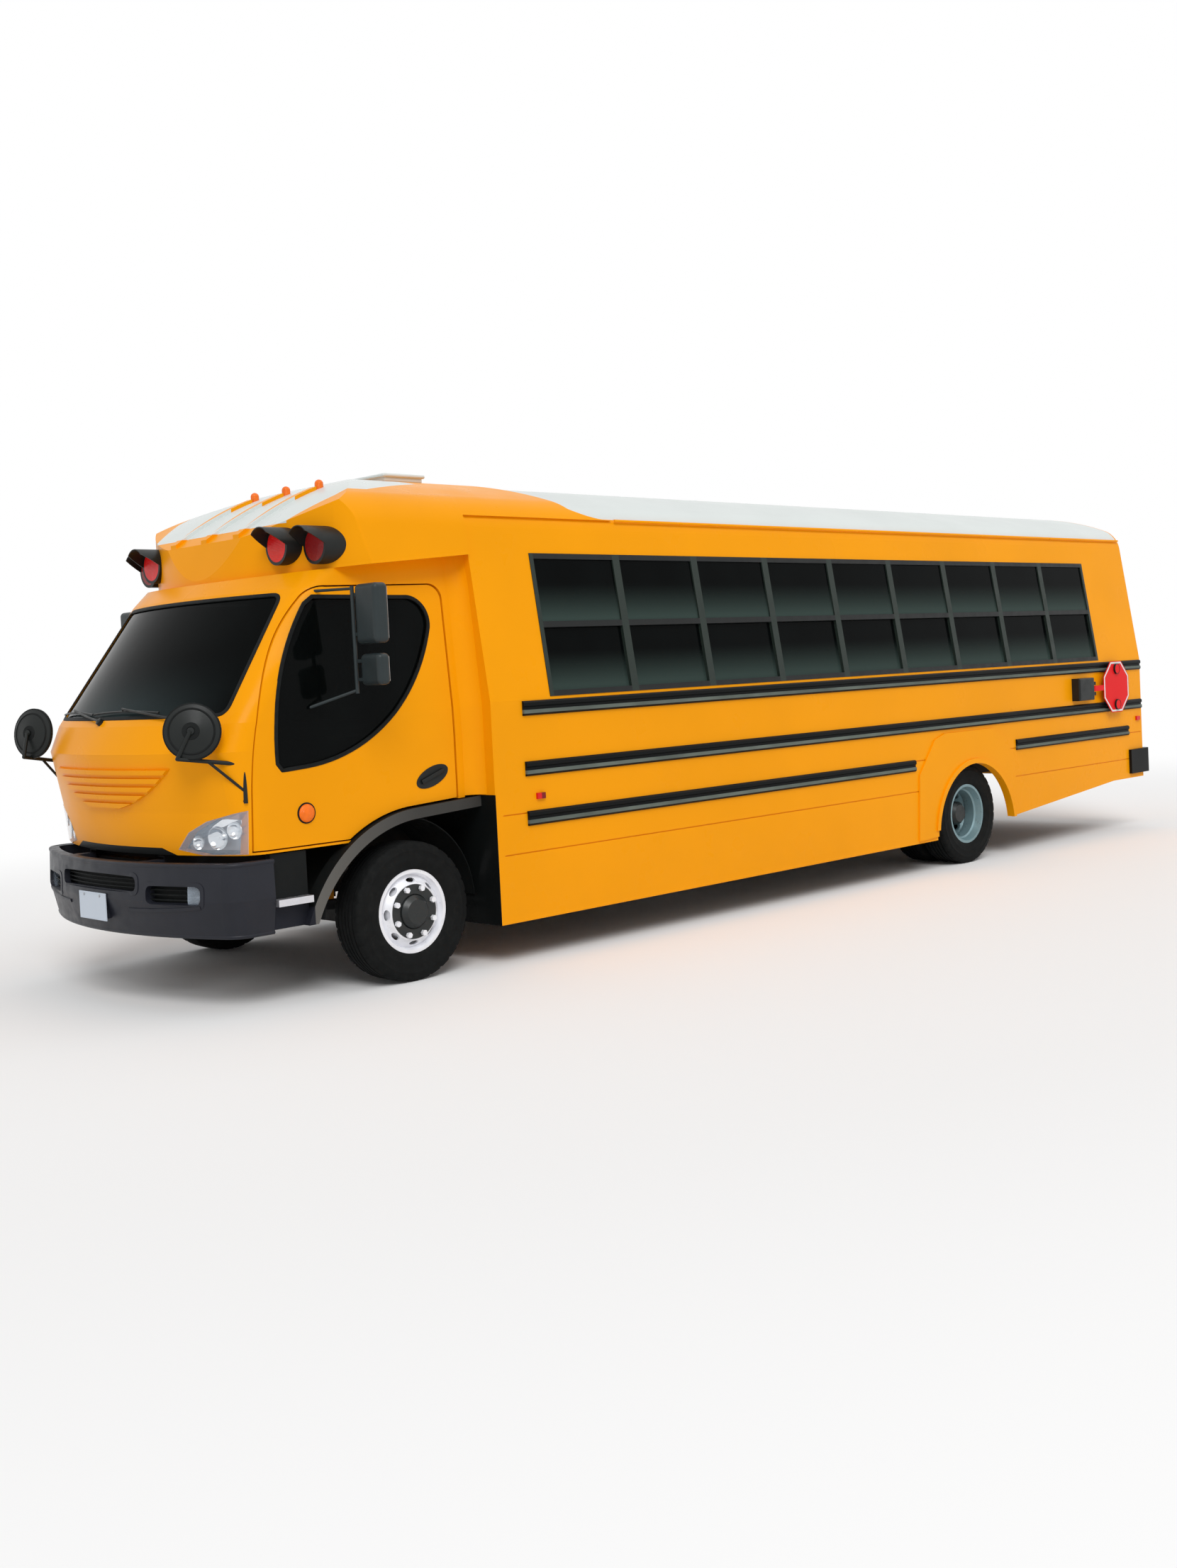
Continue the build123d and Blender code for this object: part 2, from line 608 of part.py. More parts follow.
with BuildPart() as cab_door_left:
    add(CAB_OUTER)
    add(CAB_INNER, mode=Mode.SUBTRACT)
    extrude(cab_door_outline(DOOR_GAP, DOOR_SWING_GAP), amount=BODY_HALF, mode=Mode.INTERSECT)
    extrude(arch_region(side(0), -FLARE_GAP), amount=BODY_HALF, mode=Mode.SUBTRACT)
    extrude(door_window(), amount=BODY_HALF, mode=Mode.SUBTRACT)
save(cab_door_left, "cab_door_left")
save(mirrored(cab_door_left), "cab_door_right")

with BuildPart() as door_glass_left:
    add(DOOR_PANE_LAYER)
    extrude(door_window(), amount=BODY_HALF, mode=Mode.INTERSECT)
save(door_glass_left, "door_glass_left")
save(mirrored(door_glass_left), "door_glass_right")

# lamps: the headlamps wrap round the cab's corners, the fog lamps sit in the bumper
BUMPER_LEVELS = (
    # height, front behind the axle, half width
    (400, -1336, 1030),
    (600, BUMPER_FRONT, BUMPER_HALF),
    (800, -1374, 1060),
)
BUMPER_NOSE_R = 2350
BUMPER_CORNER_R = 130
FOG_SUNK = 14                 # fog lamp face behind the bumper's skin


def bumper_solid(inset=0.0):
    with BuildPart() as solid:
        for z, front, half in BUMPER_LEVELS:
            corner_x = half - inset
            nose = front + inset
            corner_y = nose + BUMPER_NOSE_R - sqrt(BUMPER_NOSE_R ** 2 - corner_x ** 2)
            with BuildSketch(plan(z)) as level:
                with BuildLine():
                    ThreePointArc((-corner_x, corner_y), (0, nose), (corner_x, corner_y))
                    Polyline((corner_x, corner_y), (corner_x, BUMPER_END), (-corner_x, BUMPER_END),
                             (-corner_x, corner_y))
                make_face()
                corners = level.vertices().filter_by(lambda v: isclose(v.Y, corner_y, abs_tol=0.01))
                fillet(corners, BUMPER_CORNER_R - min(inset, 60))
        loft(ruled=True)
    return solid.part


BUMPER_OUTER = bumper_solid()
BUMPER_INNER = bumper_solid(BUMPER_WALL)
FOG_LAYER = layer(bumper_solid, FOG_SUNK, BUMPER_WALL)
INTAKE = (-420, 420, 640, 732)                 # x from, x to, z from, z to
SIDE_INTAKE = (490, 872, 578, 688)
FOG_LAMP_X = 772
PLATE_HALF, PLATE_LOW, PLATE_HIGH = 152.5, 471, 623
PLATE_HOLE_R = 3.5
PLATE_HOLE_SPACING = 178
PLATE_HOLE_Z = PLATE_HIGH - 16

with BuildPart() as front_bumper:
    add(BUMPER_OUTER)
    add(BUMPER_INNER, mode=Mode.SUBTRACT)
    block(INTAKE[0], INTAKE[1], -1500, -1100, INTAKE[2], INTAKE[3], mode=Mode.SUBTRACT)
    for out in (LEFT, RIGHT):
        block(out * SIDE_INTAKE[0], out * SIDE_INTAKE[1], -1500, -1100, SIDE_INTAKE[2], SIDE_INTAKE[3],
              mode=Mode.SUBTRACT)
        block(out * (RAIL_OUTER - RAIL_WIDTH), out * RAIL_OUTER, -1300, RAIL_FRONT, INTAKE[3] + 6, 800)
    block(-PLATE_HALF + 20, PLATE_HALF - 20, BUMPER_FRONT, BUMPER_FRONT + BUMPER_WALL,
          PLATE_LOW + 10, PLATE_HIGH - 4)
    for x in (-PLATE_HOLE_SPACING / 2, PLATE_HOLE_SPACING / 2):
        rod((x, BUMPER_FRONT - 1, PLATE_HOLE_Z), (x, BUMPER_FRONT + 20, PLATE_HOLE_Z), PLATE_HOLE_R,
            mode=Mode.SUBTRACT)
save(front_bumper, "front_bumper")

with BuildPart() as licence_plate:
    block(-PLATE_HALF, PLATE_HALF, BUMPER_FRONT - PLATE_THICK, BUMPER_FRONT, PLATE_LOW, PLATE_HIGH)
    for x in (-PLATE_HOLE_SPACING / 2, PLATE_HOLE_SPACING / 2):
        rod((x, BUMPER_FRONT - 20, PLATE_HOLE_Z), (x, BUMPER_FRONT + 1, PLATE_HOLE_Z), PLATE_HOLE_R,
            mode=Mode.SUBTRACT)
save(licence_plate, "licence_plate")

with BuildPart() as headlamp:
    add(LAMP_LAYER)
    extrude(outline(cross(LAMP_REAR), HEADLAMP), amount=600, mode=Mode.INTERSECT)
with BuildPart() as fog_lamp:
    add(FOG_LAYER)
    block(FOG_LAMP_X, SIDE_INTAKE[1], -1500, -1000, SIDE_INTAKE[2], SIDE_INTAKE[3], mode=Mode.INTERSECT)
with BuildPart() as front_lamps:
    add(headlamp.part)
    add(fog_lamp.part)
    mirror(headlamp.part, about=Plane.YZ)
    mirror(fog_lamp.part, about=Plane.YZ)
save(front_lamps, "front_lamps")

# louvred front panel: a smile-shaped plate with raised ribs
LOUVRE_TOP, LOUVRE_BOTTOM, LOUVRE_HALF = 1300, 1068, 640
LOUVRE_RIBS = 5
RIB_TALL = 26
RIB_PITCH = (LOUVRE_TOP - LOUVRE_BOTTOM) / LOUVRE_RIBS
with BuildPart() as louvre_ribs:
    add(RIB_LAYER)
    with BuildSketch(cross(-900)) as strips:
        for i in range(LOUVRE_RIBS):
            with Locations((0, LOUVRE_BOTTOM + RIB_PITCH * (i + 0.6))):
                Rectangle(2 * LOUVRE_HALF + 50, RIB_TALL)
    extrude(strips.sketch, amount=600, mode=Mode.INTERSECT)
with BuildPart() as louvre_panel:
    add(LOUVRE_LAYER)
    add(louvre_ribs.part)
    with BuildSketch(cross(-900)) as smile:
        with BuildLine():
            ThreePointArc((-LOUVRE_HALF, LOUVRE_TOP), (0, LOUVRE_BOTTOM), (LOUVRE_HALF, LOUVRE_TOP))
            Line((LOUVRE_HALF, LOUVRE_TOP), (-LOUVRE_HALF, LOUVRE_TOP))
        make_face()
    extrude(smile.sketch, amount=600, mode=Mode.INTERSECT)
save(louvre_panel, "louvre_panel")

# wheel-arch flares, liners and the valance between bumper and arch
FLARE_X0, FLARE_X1 = 985, 1082
LINER_R = 530
LINER_THICK = 6
FLARE_TRIM = 4                # flare edge inside the cab's arch line
VALANCE_THICK = 45
with BuildPart() as flare:
    extrude(arch_region(side(FLARE_X0), FLARE_TRIM), amount=FLARE_X1 - FLARE_X0)
    block(FLARE_X0, FLARE_X0 + VALANCE_THICK, BUMPER_END, -660, FLARE_FOOT_Z, CAB_BOTTOM - FLARE_GAP)
    block(FLARE_X0 - 5, FLARE_X1 + 5, BUMPER_END, BODY_FRONT, 0, FLARE_FOOT_Z, mode=Mode.SUBTRACT)
    extrude(arch_region(side(FLARE_X0 - 5), FLARE_TRIM + FLARE_BAND), amount=120, mode=Mode.SUBTRACT)
    with BuildSketch(side(ARCH_INNER_X)) as liner:
        with Locations((0, TYRE_R)):
            Circle(LINER_R + LINER_THICK)
            Circle(LINER_R, mode=Mode.SUBTRACT)
        with Locations((0, FLARE_FOOT_Z - 1000)):
            Rectangle(2000, 2000, mode=Mode.SUBTRACT)
    extrude(liner.sketch, amount=FLARE_X0 + 5 - ARCH_INNER_X)
with BuildPart() as arch_flares:
    add(flare.part)
    mirror(flare.part, about=Plane.YZ)
save(arch_flares, "arch_flares")

STEP_OUTER, STEP_REAR = 1086, -662
STEP_LOW, STEP_HIGH = 545, 582
with BuildPart() as cab_steps:
    for out in (LEFT, RIGHT):
        block(out * (FLARE_X0 + VALANCE_THICK), out * STEP_OUTER, BUMPER_END + 4, STEP_REAR,
              STEP_LOW, STEP_HIGH)
save(cab_steps, "cab_steps")

# ---------------------------------------------------------------- mirrors
ARM_R = 11


def rounded_block(x0, x1, y0, y1, z0, z1, radius):
    with BuildPart() as solid:
        block(x0, x1, y0, y1, z0, z1)
        fillet(solid.edges(), radius)
    return solid.part


MIRROR_HOUSINGS = (
    rounded_block(1212, 1405, -388, -292, 1915, 2240, 28),
    rounded_block(1222, 1402, -378, -298, 1690, 1862, 28),
)
BAR_X, BAR_Y = 1200, -385      # upright bar that carries both housings
BAR_LOW, BAR_HIGH = 1650, 2232
BRACKET_Z = (1725, 1825, 1970, 2185)
STAY_R = 8
MIRROR_STAYS = (               # height on the bar, foot inside the door's skin
    (2218, (900, -500, 2221)),
    (1668, (940, -700, 1541)),
)
with BuildPart() as side_mirror_left:
    for housing in MIRROR_HOUSINGS:
        add(housing)
    rod((BAR_X, BAR_Y, BAR_LOW), (BAR_X, BAR_Y, BAR_HIGH), ARM_R)
    for z in BRACKET_Z:
        block(BAR_X, BAR_X + 50, BAR_Y + 2, BAR_Y + 25, z - 9, z + 9)
    for bar_z, foot in MIRROR_STAYS:
        rod((BAR_X, BAR_Y, bar_z), foot, STAY_R)
    add(CAB_OUTER, mode=Mode.SUBTRACT)
save(side_mirror_left, "side_mirror_left")
save(mirrored(side_mirror_left), "side_mirror_right")

CROSSVIEW = (927, -1244, 1499)                 # middle of the rim of the left round mirror
CROSSVIEW_TURNS = {LEFT: 50, RIGHT: 20}        # degrees that each one looks away to the bus's right
CROSSVIEW_DROP = 0.12                          # and down, per unit of its aim
CROSSVIEW_BOSS_R, CROSSVIEW_BOSS_LONG = 18, 46
DOME = (
    # along its aim, radius
    (-34, 0), (-34, 44), (-16, 122), (-4, 150), (10, 150), (34, 108), (50, 56), (55, 0),
)
# the arm of the left mirror: elbow under the mirror, head of the post, foot of the post
ARM_ELBOW, ARM_HEAD, ARM_FOOT = (900, -1322, 1362), (1030, -1012, 1312), (1030, -1012, 1108)
BRACE = ((960, -1180, 1338), (1030, -1012, 1170))
BRACE_R = 7.7
CLAMP_Z = (1120, 1300)
CLAMP_INNER = 880


def crossview_aim(out):
    turn = radians(CROSSVIEW_TURNS[out])
    return Vector(-sin(turn), cos(turn), -CROSSVIEW_DROP).normalized()


def crossview_dome(out):
    """Round mirror: a shallow back shell and a domed glass, turned about its aim."""
    centre = Vector(out * CROSSVIEW[0], FRONT_AXLE_Y + CROSSVIEW[1], CROSSVIEW[2])
    aim = crossview_aim(out)
    radial = Vector(0, 0, 1).cross(aim).normalized()
    with BuildPart() as dome:
        with BuildSketch(Plane(origin=centre, x_dir=radial, z_dir=radial.cross(aim))):
            with BuildLine():
                Polyline(*((radius, axial) for axial, radius in DOME), close=True)
            make_face()
        revolve(axis=Axis(centre, aim))
    return dome.part


def on_side(point, out):
    return out * point[0], point[1], point[2]


CROSSVIEW_DOMES = [crossview_dome(LEFT), crossview_dome(RIGHT)]
with BuildPart() as crossview_mirrors:
    add(CROSSVIEW_DOMES)
    for out in (LEFT, RIGHT):
        aim = crossview_aim(out)
        middle = on_side(CROSSVIEW, out)
        boss = tuple(place - part * CROSSVIEW_BOSS_LONG for place, part in zip(middle, (aim.X, aim.Y, aim.Z)))
        rod(middle, boss, CROSSVIEW_BOSS_R)
        rod(boss, on_side(ARM_ELBOW, out), ARM_R)
        rod(on_side(ARM_ELBOW, out), on_side(ARM_HEAD, out), ARM_R)
        rod(on_side(ARM_HEAD, out), on_side(ARM_FOOT, out), ARM_R)
        rod(on_side(BRACE[0], out), on_side(BRACE[1], out), BRACE_R)
        for z in CLAMP_Z:
            rod((out * ARM_HEAD[0], ARM_HEAD[1], z), (out * CLAMP_INNER, ARM_HEAD[1], z), ARM_R)
        for x, behind, z in (on_side(ARM_ELBOW, out), on_side(ARM_HEAD, out)):
            with Locations((x, FRONT_AXLE_Y + behind, z)):
                Sphere(ARM_R)
    add(CAB_OUTER, mode=Mode.SUBTRACT)
save(crossview_mirrors, "crossview_mirrors")

# ---------------------------------------------------------------- inside the cab
DRIVER_X = 450
CAB_SEAT_FRONT = -300
WHEEL_CENTRE = (DRIVER_X, -590, 1640)
COLUMN_LEAN = 62               # steering column, degrees up from level
with BuildPart() as steering_wheel:
    rise = radians(COLUMN_LEAN)
    up = Vector(0, cos(rise), sin(rise))
    hub = Vector(WHEEL_CENTRE[0], FRONT_AXLE_Y + WHEEL_CENTRE[1], WHEEL_CENTRE[2])
    wheel_plane = Plane(origin=hub, x_dir=(1, 0, 0), z_dir=up)
    with Locations(wheel_plane):
        Torus(215, 15)
    with BuildSketch(wheel_plane.offset(-14)) as spokes:
        Circle(62)
        for angle in (0, 120, 240):
            with Locations(Location((0, 0, 0), (0, 0, 1), angle - 90)):
                with Locations((105, 0)):
                    Rectangle(206, 34)
    extrude(spokes.sketch, amount=20)
save(steering_wheel, "steering_wheel")

DASH_HALF = 940
DASH_PROFILE = ((-1500, 1290), (-860, 1290), (-800, 1400), (-880, 1520), (-1500, 1520))
COLUMN_LONG = 400
COLUMN_R = 32
COLUMN_TOP_GAP = 22           # column top below the wheel's centre
DASH_ROOM = cab_solid(CAB_WALL + 1)
with BuildPart() as dashboard:
    extrude(outline(side(-DASH_HALF), DASH_PROFILE), amount=2 * DASH_HALF)
    add(DASH_ROOM, mode=Mode.INTERSECT)
    with Locations(Plane(origin=hub - up * COLUMN_LONG, z_dir=up)):
        Cylinder(COLUMN_R, COLUMN_LONG - COLUMN_TOP_GAP, align=(Align.CENTER, Align.CENTER, Align.MIN))
    for x in (-DRIVER_X, DRIVER_X):
        block(x - 60, x + 60, -1000, -900, CAB_FLOOR, 1290)
save(dashboard, "dashboard")


SEAT_PROFILE = (
    # behind the seat's front edge, height above the cab floor
    (0, 330), (20, 440), (430, 450), (520, 1010), (600, 1010), (560, 420), (520, 330),
)
with BuildPart() as cab_seats:
    for x in (DRIVER_X, -DRIVER_X):
        seat = [(CAB_SEAT_FRONT + y, CAB_FLOOR + z) for y, z in SEAT_PROFILE]
        extrude(outline(side(x - 245), seat), amount=490)
        block(x - 170, x + 170, CAB_SEAT_FRONT + 50, CAB_SEAT_FRONT + 490, CAB_FLOOR, CAB_FLOOR + 330)
save(cab_seats, "cab_seats")

# ---------------------------------------------------------------- cap over the cab
ID_LAMP_X = (-351, 0, 351)
RIB_HALF = 30
RIB_HIGH = 22


def cap_profile(inset=0.0, lift=0.0):
    """Side view of the cap: sign panel, sloping top and underside."""
    slope = (CAP_BOTTOM_REAR - CAP_BOTTOM) / (BODY_FRONT - CAP_FRONT)
    top = lift - inset
    with BuildSketch(side(0)) as profile:
        with BuildLine():
            low_front = (-615 + inset, CAP_BOTTOM - slope * 5 + inset)
            brow = (-562 + inset, 2562 + top)
            ramp = ThreePointArc(brow, (-270 + inset * 0.5, 2742 + top), (60, 2884 + top))
            crest = ThreePointArc(ramp @ 1, (300, 2948 + top), (BODY_FRONT, 2975 + top))
            Polyline(crest @ 1, (BODY_FRONT, CAP_BOTTOM_REAR + inset), low_front, brow)
        make_face()
    return profile.sketch


def cap_solid(inset=0.0):
    """The cap's nose: plan outline, side profile and body section together."""
    half = CAP_HALF - inset
    nose = CAP_FRONT + inset
    corner_y = nose + CAP_NOSE_R - sqrt(CAP_NOSE_R ** 2 - half ** 2)
    with BuildPart() as solid:
        with BuildSketch(plan(CAP_BOTTOM - 200)) as footprint:
            with BuildLine():
                ThreePointArc((-half, corner_y), (0, nose), (half, corner_y))
                Polyline((half, corner_y), (half, BODY_FRONT), (-half, BODY_FRONT), (-half, corner_y))
            make_face()
            corners = footprint.vertices().filter_by(lambda v: isclose(v.Y, corner_y, abs_tol=0.01))
            fillet(corners, CAP_CORNER_R - inset)
        extrude(footprint.sketch, amount=1000)
        extrude(cap_profile(inset), amount=BODY_HALF, both=True, mode=Mode.INTERSECT)
        extrude(body_section(cross(BODY_FRONT), inset - CAP_PROUD), amount=BODY_FRONT - CAP_FRONT + 200,
                mode=Mode.INTERSECT)
    return solid.part


def cap_rib(x):
    """Raised rib running down the ramp in front of an identification lamp."""
    with BuildPart() as rib:
        extrude(cap_profile(0, RIB_HIGH), amount=BODY_HALF, both=True)
        block(x - RIB_HALF, x + RIB_HALF, -560, -10, 2500, 3000, mode=Mode.INTERSECT)
    return rib.part


def cap_skin():
    """Skin laid over the roof, its rear edge sweeping down to the sides."""
    bottom = ROOF_SPLIT_Z - 8
    with BuildPart() as skin:
        extrude(body_section(cross(SKIN_REAR), -CAP_PROUD), amount=SKIN_REAR - BODY_FRONT)
        extrude(body_section(cross(SKIN_REAR)), amount=SKIN_REAR - BODY_FRONT, mode=Mode.SUBTRACT)
        with BuildSketch(side(0)) as sweep:
            with BuildLine():
                crest = ThreePointArc((960, 3000), (1250, 2880), (1440, 2730))
                tail = ThreePointArc(crest @ 1, (1590, 2683), (SKIN_REAR - 20, bottom))
                Polyline(tail @ 1, (BODY_FRONT, bottom), (BODY_FRONT, 3000), crest @ 0)
            make_face()
        extrude(sweep.sketch, amount=BODY_HALF, both=True, mode=Mode.INTERSECT)
    return skin.part


SKIN_REAR = 1800
CAP_OUTER = cap_solid()
CAP_HOLLOW = cap_solid(CAP_WALL)
CAP_RIBS = [cap_rib(x) for x in ID_LAMP_X]
CAP_SKIN = cap_skin()

with BuildPart() as roof_cap:
    add(CAP_OUTER)
    add(CAP_RIBS)
    add(CAP_HOLLOW, mode=Mode.SUBTRACT)
    add(CAP_SKIN)
save(roof_cap, "roof_cap")

# ---------------------------------------------------------------- body walls
BODY_RING = body_ring(BODY_FRONT + END_WALL, BODY_REAR - END_WALL)


def lean_plane():
    """Plane on the outer face of the leaning left wall, its origin on the sill line."""
    return Plane(origin=(wall_x(SILL_Z), FRONT_AXLE_Y, SILL_Z), x_dir=(0, 1, 0), z_dir=(1, 0, LEAN))


BAND_TALL = (HEADER_Z - SILL_Z) * hypot(1, LEAN)
WINDOW_END = WINDOW_FIRST + WINDOW_COUNT * WINDOW_PITCH


def window_band(first_bay, depth_from, depth_to):
    """Solid filling the window opening of the left wall between two depths under its skin."""
    start = WINDOW_FIRST + first_bay * WINDOW_PITCH
    with BuildPart() as band:
        with BuildSketch(lean_plane().offset(-depth_from)) as opening:
            with Locations(((start + WINDOW_END) / 2, BAND_TALL / 2)):
                Rectangle(WINDOW_END - start, BAND_TALL)
        extrude(opening.sketch, amount=depth_from - depth_to)
    return band.part


def pane_sketch(first_bay, depth, rows):
    """The window panes of one wall: rows 0 is the lower sash and 1 the upper."""
    half_tall = (BAND_TALL - 2 * FRAME_EDGE - FRAME_POST * 0.6) / 2
    with BuildSketch(lean_plane().offset(-depth)) as panes:
        for bay in range(first_bay, WINDOW_COUNT):
            middle = WINDOW_FIRST + (bay + 0.5) * WINDOW_PITCH
            for row in rows:
                height = FRAME_EDGE + half_tall / 2 + row * (half_tall + FRAME_POST * 0.6)
                with Locations((middle, height)):
                    Rectangle(WINDOW_PITCH - FRAME_POST, half_tall)
    return panes.sketch


SKIRT_CREASES = (648, 884)
CREASE = 7


def body_side(first_bay, portal):
    """Left-hand side wall; the right one has the entry portal cut out and is mirrored."""
    window = window_band(first_bay, -60, 120)
    with BuildPart() as wall:
        add(BODY_RING)
        block(0, BODY_HALF + 5, BODY_FRONT, BODY_REAR, 0, ROOF_SPLIT_Z, mode=Mode.INTERSECT)
        add(window, mode=Mode.SUBTRACT)
        rod((900, ARCH_Y, ARCH_Z), (BODY_HALF + 50, ARCH_Y, ARCH_Z), ARCH_R, mode=Mode.SUBTRACT)
        rising = outline(side(900), ((ARCH_Y + ARCH_R - 10, 0), (ARCH_Y + ARCH_R - 10, 322),
                                     (7900, 470), (BODY_REAR + 50, 470), (BODY_REAR + 50, 0)))
        extrude(rising, amount=400, mode=Mode.SUBTRACT)
        for z in SKIRT_CREASES:
            block(BODY_HALF - CREASE, BODY_HALF + 5, BODY_FRONT, BODY_REAR, z - CREASE / 2, z + CREASE / 2,
                  mode=Mode.SUBTRACT)
        if portal:
            block(0, BODY_HALF + 5, PORTAL_FRONT, PORTAL_REAR, 0, PORTAL_TOP, mode=Mode.SUBTRACT)
    return wall


def window_frame(first_bay):
    """Dark sash frames filling the window opening, a little proud of the wall."""
    band = window_band(first_bay, -FRAME_PROUD, FRAME_DEPTH)
    with BuildPart() as frame:
        add(band)
        extrude(pane_sketch(first_bay, -10, (0, 1)), amount=-(FRAME_DEPTH + 20), mode=Mode.SUBTRACT)
    return frame.part


def window_panes(first_bay):
    with BuildPart() as glass:
        extrude(pane_sketch(first_bay, 6, (1,)), amount=-PANE)
        extrude(pane_sketch(first_bay, 18, (0,)), amount=-PANE)
    return glass.part


save(body_side(0, False), "body_side_left")
save(mirrored(body_side(1, True)), "body_side_right")

FRAME_LEFT, FRAME_RIGHT = window_frame(0), window_frame(1)
with BuildPart() as window_frames:
    add(FRAME_LEFT)
    mirror(FRAME_RIGHT, about=Plane.YZ)
save(window_frames, "window_frames")

with BuildPart() as roof_panel:
    add(BODY_RING)
    block(-BODY_HALF, BODY_HALF, BODY_FRONT, BODY_REAR, ROOF_SPLIT_Z, ROOF_Z + 5, mode=Mode.INTERSECT)
save(roof_panel, "roof_panel")

# front wall of the body with the fairing that sweeps in to the cab
FAIRING_LEVELS = (ARCH_REAR_Z + 4, 1530, 2240, CAB_TOP)
FAIRING_DEEP = 70
COLLAR = 30


def fairing(out):
    """Concave panel that sweeps from the cab's rear edge out to the body's side."""
    with BuildPart() as panel:
        for z in FAIRING_LEVELS:
            near, far = out * cab_half(z), out * wall_x(z)
            inner = near - out * FAIRING_DEEP
            with BuildSketch(plan(z)):
                with BuildLine():
                    hollow = near + (far - near) * 0.26
                    ThreePointArc((near, CAB_REAR), (hollow, CAB_REAR + 70), (far, BODY_FRONT))
                    Polyline((far, BODY_FRONT), (inner, BODY_FRONT), (inner, CAB_REAR), (near, CAB_REAR))
                make_face()
        loft(ruled=True)
    return panel.part


FAIRINGS = [fairing(LEFT), fairing(RIGHT)]
with BuildPart() as body_front:
    extrude(body_section(cross(BODY_FRONT + END_WALL)), amount=END_WALL)
    block(-ARCH_INNER_X, ARCH_INNER_X, BODY_FRONT - 1, BODY_FRONT + END_WALL + 1, 0, FLOOR_Z - FLOOR_THICK,
          mode=Mode.SUBTRACT)
    add(FAIRINGS)
    block(-PASSAGE_HALF - COLLAR, PASSAGE_HALF + COLLAR, CAB_REAR, BODY_FRONT + 5, CAB_FLOOR - COLLAR,
          PASSAGE_TOP + COLLAR)
    block(-PASSAGE_HALF, PASSAGE_HALF, CAB_REAR - 5, BODY_FRONT + END_WALL + 5, CAB_FLOOR, PASSAGE_TOP,
          mode=Mode.SUBTRACT)
    add(CAP_OUTER, mode=Mode.SUBTRACT)
save(body_front, "body_front")

# rear wall with the emergency door
EXIT_HALF, EXIT_LOW, EXIT_HIGH = 460, 930, 2380
PANE_SUNK = 20                # rear panes behind the wall's face
REAR_BOTTOM = 470
REAR_EDGE_R = 38
REAR_PANE = (560, 985, 1580, 2330)            # x from, x to, z from, z to
EXIT_PANE_HALF, EXIT_PANE_LOW, EXIT_PANE_HIGH = 330, 1480, 2290


def rear_opening(shrink=0.0):
    points = ((-EXIT_HALF + shrink, EXIT_LOW + shrink), (EXIT_HALF - shrink, EXIT_LOW + shrink),
              (EXIT_HALF - shrink, EXIT_HIGH - shrink), (-EXIT_HALF + shrink, EXIT_HIGH - shrink))
    return outline(cross(BODY_REAR), points, 60)


def exit_pane(depth=0.0):
    """Pane outline of the emergency door, on a plane sunk from its rear face."""
    return outline(cross(BODY_REAR - depth), (
        (-EXIT_PANE_HALF, EXIT_PANE_LOW), (EXIT_PANE_HALF, EXIT_PANE_LOW),
        (EXIT_PANE_HALF, EXIT_PANE_HIGH), (-EXIT_PANE_HALF, EXIT_PANE_HIGH)), 50)


with BuildPart() as rear_wall:
    extrude(body_section(cross(BODY_REAR), 0, REAR_BOTTOM), amount=END_WALL)
    rear_face = rear_wall.faces().sort_by(Axis.Y)[-1]
    rim_edges = rear_face.edges().filter_by(lambda e: e.center().Z > REAR_BOTTOM + 1)
    fillet(rim_edges, REAR_EDGE_R)
    extrude(rear_opening(), amount=END_WALL, mode=Mode.SUBTRACT)
    for out in (LEFT, RIGHT):
        block(out * REAR_PANE[0], out * REAR_PANE[1], BODY_REAR - END_WALL - 1, BODY_REAR + 1,
              REAR_PANE[2], REAR_PANE[3], mode=Mode.SUBTRACT)
save(rear_wall, "rear_wall")

with BuildPart() as emergency_door:
    extrude(rear_opening(DOOR_GAP), amount=END_WALL)
    extrude(exit_pane(), amount=END_WALL, mode=Mode.SUBTRACT)
save(emergency_door, "emergency_door")

with BuildPart() as emergency_glass:
    extrude(exit_pane(PANE_SUNK), amount=PANE)
save(emergency_glass, "emergency_glass")

PANES_LEFT, PANES_RIGHT = window_panes(0), window_panes(1)
with BuildPart() as side_glass:
    add(PANES_LEFT)
    mirror(PANES_RIGHT, about=Plane.YZ)
    for out in (LEFT, RIGHT):
        block(out * REAR_PANE[0], out * REAR_PANE[1], BODY_REAR - PANE_SUNK - PANE, BODY_REAR - PANE_SUNK,
              REAR_PANE[2], REAR_PANE[3])
save(side_glass, "side_glass")

# ---------------------------------------------------------------- floor, steps and entry
STEP_X = (1020, 1000, 850, 700, 670)          # distances from the middle of the stair's risers
STAIR_THICK = 30
STEP_Z = (ENTRY_SILL, 500, 700, FLOOR_Z)
OPENING_FRONT = PORTAL_FRONT + PORTAL_FRAME
OPENING_REAR = PORTAL_REAR - PORTAL_FRAME
PORTAL_INNER = BODY_HALF - ENTRY_DEPTH
SILL_CROSS = 800                              # spacing of the floor's cross bearers
CROSS_BEARERS = 10

with BuildPart() as body_floor:
    block(-BODY_HALF + WALL, BODY_HALF - WALL, BODY_FRONT + END_WALL, BODY_REAR - END_WALL,
          FLOOR_Z - FLOOR_THICK, FLOOR_Z)
    for i in range(CROSS_BEARERS):
        start = BODY_FRONT + END_WALL + 40 + i * SILL_CROSS
        block(-BODY_HALF + WALL + 60, BODY_HALF - WALL - 60, start, start + 60, RAIL_TOP,
              FLOOR_Z - FLOOR_THICK)
    block(-BODY_HALF, -STEP_X[4], PORTAL_FRONT, PORTAL_REAR, 0, FLOOR_Z + 5, mode=Mode.SUBTRACT)
save(body_floor, "body_floor")

